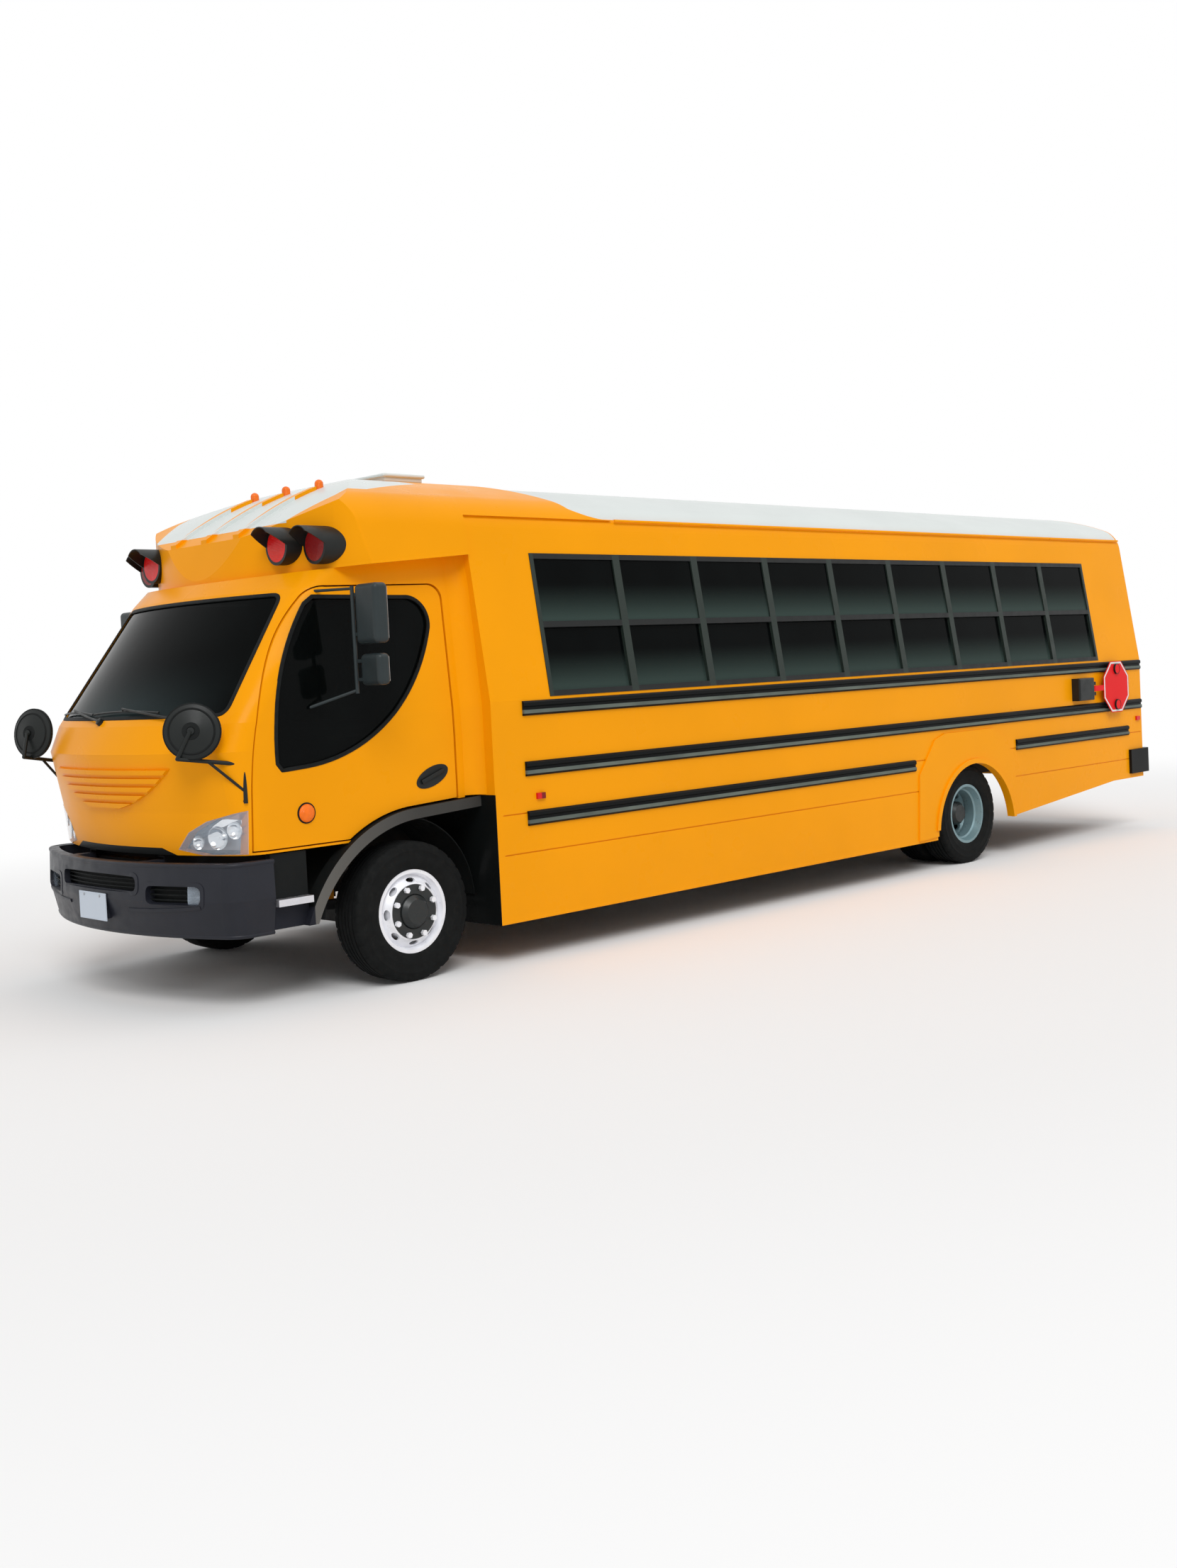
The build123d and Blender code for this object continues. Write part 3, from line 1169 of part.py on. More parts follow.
LEAF_LOW = ENTRY_SILL + DOOR_GAP
LEAF_HIGH = PORTAL_TOP - PORTAL_FRAME - DOOR_GAP
LEAF_SPLIT = 12
LEAF_WIDE = (OPENING_REAR - OPENING_FRONT - 2 * DOOR_GAP - LEAF_SPLIT) / 2

with BuildPart() as entry_portal:
    block(-BODY_HALF, -PORTAL_INNER, PORTAL_FRONT, PORTAL_REAR, SKIRT_Z, PORTAL_TOP)
    block(-BODY_HALF - 5, -PORTAL_INNER + 5, OPENING_FRONT, OPENING_REAR,
          ENTRY_SILL, PORTAL_TOP - PORTAL_FRAME, mode=Mode.SUBTRACT)
    # the stairwell hangs from the portal's inner face
    stair = (
        (-STEP_X[0], STEP_Z[0]), (-STEP_X[1], STEP_Z[0]), (-STEP_X[1], STEP_Z[1]), (-STEP_X[2], STEP_Z[1]),
        (-STEP_X[2], STEP_Z[2]), (-STEP_X[3], STEP_Z[2]), (-STEP_X[3], STEP_Z[3]), (-STEP_X[4], STEP_Z[3]),
        (-STEP_X[4], STEP_Z[2] - STAIR_THICK), (-STEP_X[3] - 120, STEP_Z[2] - STAIR_THICK),
        (-STEP_X[3] - 120, STEP_Z[1] - STAIR_THICK), (-STEP_X[2] - 120, STEP_Z[1] - STAIR_THICK),
        (-STEP_X[2] - 120, STEP_Z[0] - STAIR_THICK), (-STEP_X[0], STEP_Z[0] - STAIR_THICK))
    extrude(outline(cross(OPENING_REAR), stair), amount=OPENING_REAR - OPENING_FRONT)
    for y0, y1 in ((PORTAL_FRONT, OPENING_FRONT), (OPENING_REAR, PORTAL_REAR)):
        block(-PORTAL_INNER, -STEP_X[4], y0, y1, STEP_Z[0] - STAIR_THICK, FLOOR_Z)
save(entry_portal, "entry_portal")

LEAVES = (("front", OPENING_FRONT + DOOR_GAP), ("rear", OPENING_REAR - DOOR_GAP - LEAF_WIDE))
LEAF_RAIL = 62
LEAF_PANES = ((430, 1080), (1180, 2190))      # z from, z to of the lower and upper pane
for name, start in LEAVES:
    with BuildPart() as leaf:
        block(-BODY_HALF, -BODY_HALF + LEAF_THICK, start, start + LEAF_WIDE, LEAF_LOW, LEAF_HIGH)
        for low, high in LEAF_PANES:
            block(-BODY_HALF - 5, -BODY_HALF + LEAF_THICK + 5, start + LEAF_RAIL,
                  start + LEAF_WIDE - LEAF_RAIL, low, high, mode=Mode.SUBTRACT)
    save(leaf, f"entry_leaf_{name}")
    with BuildPart() as pane:
        for low, high in LEAF_PANES:
            block(-BODY_HALF + 14, -BODY_HALF + 14 + PANE, start + LEAF_RAIL, start + LEAF_WIDE - LEAF_RAIL,
                  low, high)
    save(pane, f"entry_glass_{name}")

BENCH_PITCH = 730
BENCH_PROFILE = (
    # behind the bench's front edge, height above the floor
    (0, 330), (10, 430), (400, 425), (480, 780), (550, 780), (500, 330),
)
BENCH_INNER, BENCH_OUTER = 195, 1125
with BuildPart() as passenger_seats:
    for out, first, count in ((LEFT, 900, 10), (RIGHT, 1800, 9)):
        for i in range(count):
            front = first + i * BENCH_PITCH
            shape = outline(side(out * BENCH_INNER), [(front + y, FLOOR_Z + z) for y, z in BENCH_PROFILE])
            extrude(shape, amount=out * (BENCH_OUTER - BENCH_INNER))
            for x in (BENCH_INNER + 40, BENCH_OUTER - 120):
                block(out * x, out * (x + 40), front + 120, front + 420, FLOOR_Z, FLOOR_Z + 335)
save(passenger_seats, "passenger_seats")

# ---------------------------------------------------------------- trim of the body
RAIL_HALF = 44
RAIL_PROUD = 18
RUB_RAILS = (
    # height of the middle, start and end behind the axle
    (1505, 790, BODY_REAR - 45),
    (1145, 790, BODY_REAR - 45),
    (850, 790, 4790),
    (910, 6256, 8190),
)


def rub_rail(z, start, end):
    """Black rail with a raised bead along its top and bottom."""
    x = BODY_HALF
    half = ((0, RAIL_HALF), (7, RAIL_HALF), (RAIL_PROUD, RAIL_HALF - 10), (RAIL_PROUD, 14), (9, 7))
    points = [(x + out, z + up) for out, up in half] + [(x + out, z - up) for out, up in reversed(half)]
    extrude(outline(cross(end), points), amount=end - start)


with BuildPart() as left_rails:
    for z, start, end in RUB_RAILS:
        rub_rail(z, start, end)
with BuildPart() as right_rails:
    for z, start, end in RUB_RAILS:
        rub_rail(z, max(start, PORTAL_REAR + 40), end)
with BuildPart() as rub_rails:
    add(left_rails.part)
    mirror(right_rails.part, about=Plane.YZ)
save(rub_rails, "rub_rails")

PANEL_PROUD = 12
LIP_WIDE = 38
LIP_PROUD = 26
WHEEL_PANEL = ((4800, 262), (4836, 770), (5060, 1030), (5200, 1072), (5900, 1072), (6080, 985), (6236, 770),
               (6170, 322))
with BuildPart() as wheel_panel_left:
    extrude(outline(side(BODY_HALF), WHEEL_PANEL), amount=PANEL_PROUD)
    rod((BODY_HALF - 5, ARCH_Y, ARCH_Z), (BODY_HALF + 50, ARCH_Y, ARCH_Z), ARCH_R, mode=Mode.SUBTRACT)
    with BuildSketch(side(BODY_HALF)) as lip:
        with Locations((ARCH_Y, ARCH_Z)):
            Circle(ARCH_R + LIP_WIDE)
            Circle(ARCH_R, mode=Mode.SUBTRACT)
        with Locations((ARCH_Y, 322 - 1000)):
            Rectangle(3000, 2000, mode=Mode.SUBTRACT)
    extrude(lip.sketch, amount=LIP_PROUD)
with BuildPart() as wheel_panels:
    add(wheel_panel_left.part)
    mirror(wheel_panel_left.part, about=Plane.YZ)
save(wheel_panels, "wheel_panels")

with BuildPart() as rear_bumper:
    block(-BODY_HALF - 26, BODY_HALF + 26, 8195, BODY_REAR + 70, 510, 730)
    block(-BODY_HALF, BODY_HALF, 8000, BODY_REAR, 500, 740, mode=Mode.SUBTRACT)
    vertical = rear_bumper.edges().filter_by(Axis.Z).sort_by(Axis.Y)[-2:]
    fillet(vertical, 50)
save(rear_bumper, "rear_bumper")

# warning lamps: distance from the middle, face behind the axle, height, direction they face
LAMP_R = 89
HOOD_R = 106
HOOD_WALL = 6
HOOD_RISE = 70                 # how far the visor's edge has risen at its tip
NOSE_REACH = 300
WARNING_LAMPS = (
    (700, -522, 2488, -1),
    (922, -420, 2478, -1),
    (628, REAR_LAMP_FACE, 2530, 1),
    (850, REAR_LAMP_FACE, 2530, 1),
)


def lamp(x, face, z, way):
    """Round lamp reaching back from its face into the cap, or to the rear wall."""
    depth = NOSE_REACH if way < 0 else face - BODY_REAR
    with BuildPart() as body:
        rod((x, face, z), (x, face - way * depth, z), LAMP_R)
    return body.part


def hood(x, face, z, way):
    """Backing ring round a lamp with a visor over it whose edges rise towards the tip."""
    depth = NOSE_REACH if way < 0 else face - BODY_REAR
    past_tip = face + way * (HOOD_LONG + 1)
    under = outline(side(x - HOOD_R - 1), (
        (face, z - HOOD_R - 1), (past_tip, z - HOOD_R - 1), (past_tip, z + HOOD_RISE), (face, z)))
    with BuildPart() as shade:
        rod((x, face + way * HOOD_LONG, z), (x, face - way * depth, z), HOOD_R)
        rod((x, past_tip, z), (x, face, z), HOOD_R - HOOD_WALL, mode=Mode.SUBTRACT)
        rod((x, face + way, z), (x, face - way * (depth + 1), z), LAMP_R, mode=Mode.SUBTRACT)
        extrude(under, amount=2 * (HOOD_R + 1), mode=Mode.SUBTRACT)
    return shade.part


LAMPS = [lamp(*place) for place in WARNING_LAMPS]
HOODS = [hood(*place) for place in WARNING_LAMPS]
LAMP_BACK = -150               # nothing of a front lamp lies behind this inside the cap
with BuildPart() as lamps_left:
    add(LAMPS)
    add(CAP_OUTER, mode=Mode.SUBTRACT)
    block(0, BODY_HALF, LAMP_BACK, BODY_FRONT, 2000, 3000, mode=Mode.SUBTRACT)

with BuildPart() as hoods_left:
    add(HOODS)
    add(CAP_OUTER, mode=Mode.SUBTRACT)
    block(0, BODY_HALF, LAMP_BACK, BODY_FRONT, 2000, 3000, mode=Mode.SUBTRACT)
with BuildPart() as lamp_hoods:
    add(hoods_left.part)
    mirror(hoods_left.part, about=Plane.YZ)
save(lamp_hoods, "lamp_hoods")

ID_LAMP_R = 26
ID_LAMP_Y, ID_LAMP_Z = 30, 2900
with BuildPart() as marker_lamps:
    for x in ID_LAMP_X:
        rod((x, ID_LAMP_Y, ID_LAMP_Z - 200), (x, ID_LAMP_Y, ID_LAMP_Z), ID_LAMP_R)
        with Locations((x, FRONT_AXLE_Y + ID_LAMP_Y, ID_LAMP_Z)):
            Sphere(ID_LAMP_R)
    add(CAP_OUTER, mode=Mode.SUBTRACT)
save(marker_lamps, "marker_lamps")

TAIL_LAMPS = (
    # distance from the middle, height, radius
    (1000, 1380, 88), (1000, 1150, 70), (0, 2760, 26), (170, 2750, 26),
)
SIDE_MARKERS = ((LEFT, 899, 978), (LEFT, 8375, 1012), (RIGHT, 8375, 1012))     # side, behind the axle, height
with BuildPart() as red_lamps:
    add(lamps_left.part)
    mirror(lamps_left.part, about=Plane.YZ)
    for x, z, radius in TAIL_LAMPS:
        for out in (LEFT, RIGHT):
            rod((out * x, BODY_REAR, z), (out * x, BODY_REAR + 30, z), radius)
    for out, behind, z in SIDE_MARKERS:
        block(out * BODY_HALF, out * (BODY_HALF + 16), behind - 32, behind + 32, z - 18, z + 18)
save(red_lamps, "red_lamps")

# ---------------------------------------------------------------- stop arm
SIGN_FLAT = 457                # across the octagon's flats
SIGN_Y, SIGN_Z = 7905, 1322
SIGN_X = BODY_HALF + 52
SIGN_THICK = 5
STOP_PIVOT_Y = 7512
MOTOR_BOX = (7210, 7470)       # behind the axle
with BuildPart() as stop_motor:
    block(BODY_HALF, BODY_HALF + 78, MOTOR_BOX[0], MOTOR_BOX[1], SIGN_Z - 98, SIGN_Z + 98)
    fillet(stop_motor.faces().sort_by(Axis.X)[-1].edges(), 16)
    for z in (SIGN_Z - 60, SIGN_Z + 30):
        block(SIGN_X - 8, SIGN_X + 8, MOTOR_BOX[1], STOP_PIVOT_Y, z, z + 30)
        rod((SIGN_X, STOP_PIVOT_Y, z), (SIGN_X, STOP_PIVOT_Y, z + 30), 12)
save(stop_motor, "stop_motor")

with BuildPart() as stop_arm:
    with BuildSketch(side(SIGN_X - SIGN_THICK / 2)) as octagon:
        with Locations((SIGN_Y, SIGN_Z)):
            RegularPolygon(SIGN_FLAT / 2, 8, major_radius=False, rotation=22.5)
    extrude(octagon.sketch, amount=SIGN_THICK)
    block(SIGN_X - SIGN_THICK / 2, SIGN_X + SIGN_THICK / 2, STOP_PIVOT_Y, SIGN_Y - 100,
          SIGN_Z - 24, SIGN_Z + 24)
    rod((SIGN_X, STOP_PIVOT_Y, SIGN_Z - 24), (SIGN_X, STOP_PIVOT_Y, SIGN_Z + 24), 12)
    for z in (SIGN_Z - 160, SIGN_Z + 160):
        rod((SIGN_X - 17, SIGN_Y, z), (SIGN_X + 17, SIGN_Y, z), 42)
save(stop_arm, "stop_arm")
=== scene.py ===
"""School bus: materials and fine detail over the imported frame.

Metres, with +Y to the rear, +X to the bus's left and +Z up. Most places are given by their distance
behind the front axle instead of by Y.
"""
import json
from cmath import phase, rect
from functools import partial
from itertools import product
from math import asin, copysign, cos, pi, radians, sin, sqrt, tan

import bmesh
import bpy
from mathutils import Matrix, Vector


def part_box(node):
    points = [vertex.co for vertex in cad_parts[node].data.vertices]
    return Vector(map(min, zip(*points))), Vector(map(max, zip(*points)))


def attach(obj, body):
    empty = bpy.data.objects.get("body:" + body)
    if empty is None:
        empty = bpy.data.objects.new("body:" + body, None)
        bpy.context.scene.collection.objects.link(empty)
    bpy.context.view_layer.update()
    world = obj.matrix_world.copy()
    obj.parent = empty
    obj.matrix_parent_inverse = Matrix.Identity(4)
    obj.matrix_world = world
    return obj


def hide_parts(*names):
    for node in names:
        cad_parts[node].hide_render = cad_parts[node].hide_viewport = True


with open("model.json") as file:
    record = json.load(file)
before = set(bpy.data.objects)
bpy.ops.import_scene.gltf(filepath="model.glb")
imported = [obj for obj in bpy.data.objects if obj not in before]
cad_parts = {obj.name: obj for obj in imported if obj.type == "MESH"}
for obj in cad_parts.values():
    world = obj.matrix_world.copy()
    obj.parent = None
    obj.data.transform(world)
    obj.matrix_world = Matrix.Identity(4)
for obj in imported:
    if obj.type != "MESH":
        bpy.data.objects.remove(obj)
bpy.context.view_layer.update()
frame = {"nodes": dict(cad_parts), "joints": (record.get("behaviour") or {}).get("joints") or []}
NODES = frame["nodes"]
JOINTS = {j["name"]: j for j in frame["joints"]}
_, AXLE_Y, TYRE_R = JOINTS["steer_left"]["pos_m"]  # front axle
REAR_Y = JOINTS["wheels_rear_left_spin"]["pos_m"][1]
LEFT, RIGHT = 1, -1
SIDES = (("left", LEFT), ("right", RIGHT))


def at(x, behind, z):
    """A point given by its distance behind the front axle."""
    return Vector((x, AXLE_Y + behind, z))


def add(name, data):
    """Put a new object into the scene."""
    made = bpy.data.objects.new(name, data)
    bpy.context.scene.collection.objects.link(made)
    return made


# ---- camera
IMAGE_H = 2212
FOCAL_PX = 2240.88
HORIZON_SHIFT_PX = 81.0  # how far the optical axis sits above the picture's middle
CAMERA_AT = at(8.25911, -5.46842, 1.72585)
AZIMUTH, DOWN, ROLL = radians(46.0416), radians(2.1108), radians(-2.8559)
SENSOR_MM = 36


def make_camera():
    ahead = Vector((-sin(AZIMUTH) * cos(DOWN), cos(AZIMUTH) * cos(DOWN), -sin(DOWN)))
    level = Vector((cos(AZIMUTH), sin(AZIMUTH), 0))
    above = level.cross(ahead)
    right = level * cos(ROLL) + above * sin(ROLL)
    up = above * cos(ROLL) - level * sin(ROLL)
    data = bpy.data.cameras.new("camera")
    data.sensor_width = SENSOR_MM
    data.lens = FOCAL_PX / IMAGE_H * SENSOR_MM
    data.shift_y = -HORIZON_SHIFT_PX / IMAGE_H
    data.clip_end = 200
    camera = add("camera", data)
    turn = Matrix((right, up, -ahead)).transposed().to_4x4()
    camera.matrix_world = Matrix.Translation(CAMERA_AT) @ turn
    bpy.context.scene.camera = camera


make_camera()


# ---- materials
class Tree:
    """The node tree of a material or a world."""

    def __init__(self, owner):
        owner.use_nodes = True
        self.tree = owner.node_tree

    def node(self, kind, **values):
        made = self.tree.nodes.new(kind)
        for key, value in values.items():
            if key in made.inputs:
                made.inputs[key].default_value = value
            else:
                setattr(made, key, value)
        return made

    def link(self, source, target):
        self.tree.links.new(source, target)

    def math(self, operation, *values):
        made = self.node("ShaderNodeMath", operation=operation)
        for socket, value in zip(made.inputs, values):
            if isinstance(value, (int, float)):
                socket.default_value = value
            else:
                self.link(value, socket)
        return made.outputs[0]

    def product(self, first, *others):
        for other in others:
            first = self.math("MULTIPLY", first, other)
        return first

    def backdrop(self, lit, white, output, *factors):
        """Turn white, by the factors, for rays that see it straight on, mirrored or through glass."""
        ray = self.node("ShaderNodeLightPath").outputs
        seen = self.math("MAXIMUM", ray["Is Camera Ray"], ray["Is Glossy Ray"])
        seen = self.math("MAXIMUM", seen, ray["Is Transmission Ray"])
        mix = self.node("ShaderNodeMixShader")
        for socket, source in zip(mix.inputs, (self.product(seen, *factors), lit, white)):
            self.link(source, socket)
        self.link(mix.outputs[0], self.tree.nodes[output].inputs["Surface"])


class Shader(Tree):
    """A Principled material and three measures for its patterns.

    They are the height, the distance across from the bus's middle and the one behind the front axle.
    """

    def __init__(self, name, base, rough, metal=0.0, coat=0.0, alpha=1.0, specular=0.5):
        self.material = bpy.data.materials.new(name)
        super().__init__(self.material)
        self.bsdf = self.tree.nodes["Principled BSDF"]
        self.base = (*base, 1.0)
        self.set("Base Color", self.base)
        self.set("Roughness", rough)
        self.set("Metallic", metal)
        self.set("Coat Weight", coat)
        self.set("Coat Roughness", 0.06)
        self.set("Alpha", alpha)
        self.set("Specular IOR Level", specular)
        self.coords = self.node("ShaderNodeTexCoord").outputs["Object"]
        split = self.node("ShaderNodeSeparateXYZ")
        self.link(self.coords, split.inputs[0])
        x, y, self.height = split.outputs
        self.across = self.math("ABSOLUTE", x)
        self.behind = self.math("SUBTRACT", y, AXLE_Y)

    def set(self, socket, value):
        self.bsdf.inputs[socket].default_value = value

    def noise(self, scale, detail=3.0, stretch=(1, 1, 1)):
        mapping = self.node("ShaderNodeMapping", Scale=stretch)
        self.link(self.coords, mapping.inputs["Vector"])
        made = self.node("ShaderNodeTexNoise", Scale=scale, Detail=detail)
        self.link(mapping.outputs["Vector"], made.inputs["Vector"])
        return made.outputs["Fac"]

    def wave(self, scale, direction):
        made = self.node("ShaderNodeTexWave", Scale=scale, bands_direction=direction)
        self.link(self.coords, made.inputs["Vector"])
        return made.outputs["Fac"]

    def ramp(self, source, low, high, out_low, out_high, shape="LINEAR"):
        made = self.node("ShaderNodeMapRange", interpolation_type=shape)
        for key, value in zip(("From Min", "From Max", "To Min", "To Max"), (low, high, out_low, out_high)):
            made.inputs[key].default_value = value
        self.link(source, made.inputs["Value"])
        return made.outputs["Result"]

    def over(self, value, limit):
        return self.math("GREATER_THAN", value, limit)

    def under(self, value, limit):
        return self.math("LESS_THAN", value, limit)

    def within(self, value, low, high):
        return self.product(self.over(value, low), self.under(value, high))

    def mix_colour(self, other, *factors):
        """Blend what the base colour is now towards another colour by the product of factors."""
        mix = self.node("ShaderNodeMix", data_type="RGBA")
        socket = self.bsdf.inputs["Base Color"]
        if socket.is_linked:
            self.link(socket.links[0].from_socket, mix.inputs["A"])
        else:
            mix.inputs["A"].default_value = self.base
        mix.inputs["B"].default_value = (*other, 1.0)
        self.link(self.product(*factors), mix.inputs["Factor"])
        self.link(mix.outputs["Result"], socket)
        return self

    def vary(self, scale, darker, share):
        """Slow change of colour over the surface."""
        shade = tuple(c * darker for c in self.base[:3])
        return self.mix_colour(shade, self.ramp(self.noise(scale), 0.35, 0.75, 0, share))

    def rough_vary(self, low, high, scale):
        self.link(self.ramp(self.noise(scale, 4.0), 0.3, 0.7, low, high), self.bsdf.inputs["Roughness"])

    def bump(self, height, distance, strength):
        made = self.node("ShaderNodeBump", Strength=strength, Distance=distance)
        normal = self.bsdf.inputs["Normal"]
        if normal.is_linked:
            self.link(normal.links[0].from_socket, made.inputs["Normal"])
        self.link(height, made.inputs["Height"])
        self.link(made.outputs["Normal"], normal)
        return self


YELLOW = (0.93, 0.35, 0.0015)
ROOF_WHITE = (0.7, 0.74, 0.725)
JET = (0.006, 0.007, 0.007)
GLASS_BLACK = (0.0018, 0.0024, 0.0024)
# painted sheen low on each side window sash
SASH_SHEEN_GREY = (0.044, 0.068, 0.06)
POST_GREY = (0.017, 0.026, 0.021)
# painted sheen on the rub rails' lower beads
BEAD_SHEEN_GREY = (0.16, 0.19, 0.165)
# painted sheen low in the windscreen's middle
SCREEN_SHEEN_GREY = (0.03, 0.044, 0.046)
# painted light on the wheel arches' outer lips
LIP_LIT_GREY = (0.13, 0.125, 0.115)
BUMPER_GREY = (0.0135, 0.0148, 0.021)
HUB_BLACK = (0.012, 0.015, 0.015)
# painted shade on the outer front warning lamps; it also darkens the side marker's rear half
DARKENED_RED = (0.035, 0.004, 0.005)
ROAD_DUST = (0.25, 0.17, 0.08)
TYRE_DUST = (0.05, 0.045, 0.038)
DUST_LOW_Z, DUST_HIGH_Z = 0.25, 0.8


def paint(name, base, rough=0.3, dirt=0.04):
    """Vehicle paint: orange peel, slow colour change and a little road dust low down."""
    shader = Shader(name, base, rough, coat=0.03, specular=0.06).vary(1.3, 0.92, 0.7)
    low = shader.ramp(shader.height, DUST_LOW_Z, DUST_HIGH_Z, dirt, 0)
    shader.mix_colour(ROAD_DUST, low, shader.noise(9, 5))
    shader.rough_vary(rough - 0.05, rough + 0.07, 3)
    return shader.bump(shader.noise(420, 1), 0.0004, 0.08)


def plastic(name, base, rough, grain=900.0, specular=0.25):
    shader = Shader(name, base, rough, specular=specular).vary(6, 1.5, 0.4)
    shader.rough_vary(rough - 0.08, rough + 0.08, 14)
    return shader.bump(shader.noise(grain, 2), 0.0006, 0.25)


def metal(name, base, rough, metallic):
    shader = Shader(name, base, rough, metallic).vary(12, 0.8, 0.5)
    shader.rough_vary(rough - 0.08, rough + 0.12, 25)
    return shader.bump(shader.noise(160, 4), 0.0005, 0.15)


def tinted(name, alpha, specular=0.05):
    """Tinted pane: nearly black, glossy and a little see-through."""
    shader = Shader(name, GLASS_BLACK, 0.06, alpha=alpha, specular=specular).vary(3, 2.2, 0.5)
    return shader.bump(shader.noise(1.2, 1), 0.004, 0.12)


def ribbed(shader, scale, depth, strength):
    """Fine ribs both ways, as of a lens or a weave."""
    for direction in ("X", "Z"):
        shader.bump(shader.wave(scale, direction), depth, strength)
    return shader


def lens(name, base, glow):
    """Moulded lamp lens with fine optics."""
    shader = Shader(name, base, 0.2, coat=0.12, specular=0.2).vary(30, 0.7, 0.5)
    shader.set("Emission Color", (*base, 1.0))
    shader.set("Emission Strength", glow)
    return ribbed(shader, 60, 0.002, 0.35)


def rubber(name, base=(0.005, 0.0055, 0.0055), rough=0.78):
    shader = Shader(name, base, rough, specular=0.12).vary(18, 2.0, 0.6)
    shader.mix_colour(TYRE_DUST, shader.ramp(shader.noise(35, 6), 0.55, 0.8, 0, 0.12))
    return shader.bump(shader.noise(700, 3), 0.0008, 0.35)


def vinyl(name, base):
    """Grained seat vinyl with faint creases."""
    shader = Shader(name, base, 0.42, coat=0.08).vary(9, 0.75, 0.7)
    grain = shader.node("ShaderNodeTexVoronoi", Scale=520.0)
    shader.link(shader.coords, grain.inputs["Vector"])
    shader.bump(grain.outputs["Distance"], 0.0008, 0.35)
    return shader.bump(shader.noise(14, 5, (1, 1, 4)), 0.004, 0.25)


def woven(name, base):
    shader = Shader(name, base, 0.9).vary(20, 0.7, 0.6)
    shader.set("Sheen Weight", 0.3)
    return ribbed(shader, 260, 0.001, 0.4)


# the cap's white ramp: (behind, half width) at its foot, at its widest and where it ends at the crest
RAMP_FOOT, RAMP_WIDE, RAMP_CREST = (-0.46, 0.72), (-0.22, 0.86), (0.57, 0.58)
RAMP_NARROWS = 0.0
RAMP_FOOT_Z = 2.618
RIB_MIDDLES = (0.0, 0.351)
RIB_TIP, RIB_FULL, RIB_HALF = -0.5, -0.16, 0.0305  # the yellow ribs taper out towards the front
RIB_END = -0.008


def cap_paint():
    """Cap over the cab: yellow, with a white ramp between its yellow ribs."""
    shader = paint("cap_paint", YELLOW)
    widening = shader.ramp(shader.behind, RAMP_FOOT[0], RAMP_WIDE[0], RAMP_FOOT[1], RAMP_WIDE[1])
    narrowing = shader.ramp(shader.behind, RAMP_NARROWS, RAMP_CREST[0], RAMP_WIDE[1], RAMP_CREST[1])
    masks = [
        shader.under(shader.across, shader.math("MINIMUM", widening, narrowing)),
        shader.under(shader.behind, RAMP_CREST[0]),
        shader.over(shader.height, RAMP_FOOT_Z),
    ]
    rib = shader.ramp(shader.behind, RIB_TIP, RIB_FULL, 0, RIB_HALF)
    past_ribs = shader.over(shader.behind, RIB_END)
    for middle in RIB_MIDDLES:
        gap = shader.math("ABSOLUTE", shader.math("SUBTRACT", shader.across, middle))
        masks.append(shader.math("MAXIMUM", shader.over(gap, rib), past_ribs))
    return shader.mix_colour(ROOF_WHITE, *masks)


BODY_FRONT = 0.549  # just past the body's front face, behind the front axle
ARCH_TOP_Z = 1.012  # top of the black face behind the front wheel


def front_paint():
    """Body front: yellow, but black on the face that closes the front wheel's arch from behind."""
    shader = paint("front_paint", YELLOW)
    forward = shader.under(shader.behind, BODY_FRONT)
    return shader.mix_colour(JET, forward, shader.under(shader.height, ARCH_TOP_Z))


RECESS_SHADE_HALF, RECESS_SHADE_Z = 0.46, 0.868  # the painted shade's top edge in the recess: its level part
RECESS_SHADE_END, RECESS_SHADE_END_Z = 0.57, 0.83  # where its slanting ends run out


def cab_paint():
    """Cab skin: yellow, with painted shade in black in the recess above the bumper's middle."""
    shader = paint("cab_paint", YELLOW)
    top = shader.ramp(shader.across, RECESS_SHADE_HALF, RECESS_SHADE_END, RECESS_SHADE_Z, RECESS_SHADE_END_Z)
    # painted shade: black wherever the skin lies below the recess's top edge
    return shader.mix_colour(JET, shader.under(shader.height, top))


# height of each rub rail's middle, and the stretch behind the front axle that it runs in
RAILS = ((1.505, 0.0, 9.0), (1.145, 0.0, 9.0), (0.85, 0.0, 5.5), (0.91, 5.5, 9.0))
SHEEN_LOW, SHEEN_HIGH = -0.031, -0.009  # painted sheen: a pale band on the bead below each rail's middle


def rail_paint():
    """Black rub rails, each with a painted sheen, a pale patchy band, on the bead along its lower half."""
    shader = paint("rail_paint", JET, 0.4)
    for middle, start, end in RAILS:
        sheen_patches = shader.ramp(shader.noise(3), 0.3, 0.7, 0.55, 0.9)
        bead = shader.within(shader.height, middle + SHEEN_LOW, middle + SHEEN_HIGH)
        # painted sheen on each rail's lower bead, made patchy by noise
        shader.mix_colour(BEAD_SHEEN_GREY, bead, shader.within(shader.behind, start, end), sheen_patches)
    return shader


WINDOW_FIRST, WINDOW_PITCH, POST_SHARE = 1.022, 0.741, 0.042


def frame_finish():
    """Side window frames: grey-green posts and black rails between them."""
    shader = plastic("window_frame_plastic", JET, 0.45)
    bay = shader.math("DIVIDE", shader.math("SUBTRACT", shader.behind, WINDOW_FIRST), WINDOW_PITCH)
    off_middle = shader.math("ABSOLUTE", shader.math("SUBTRACT", shader.math("FRACT", bay), 0.5))
    return shader.mix_colour(POST_GREY, shader.over(off_middle, 0.5 - POST_SHARE))


SASH_FEET = (1.601, 2.021)  # lower edges of the side windows' two panes
SASH_SHEEN_FADE = 0.24
SIDE_GLASS_X = 1.0  # the rear wall's panes lie nearer the middle than this


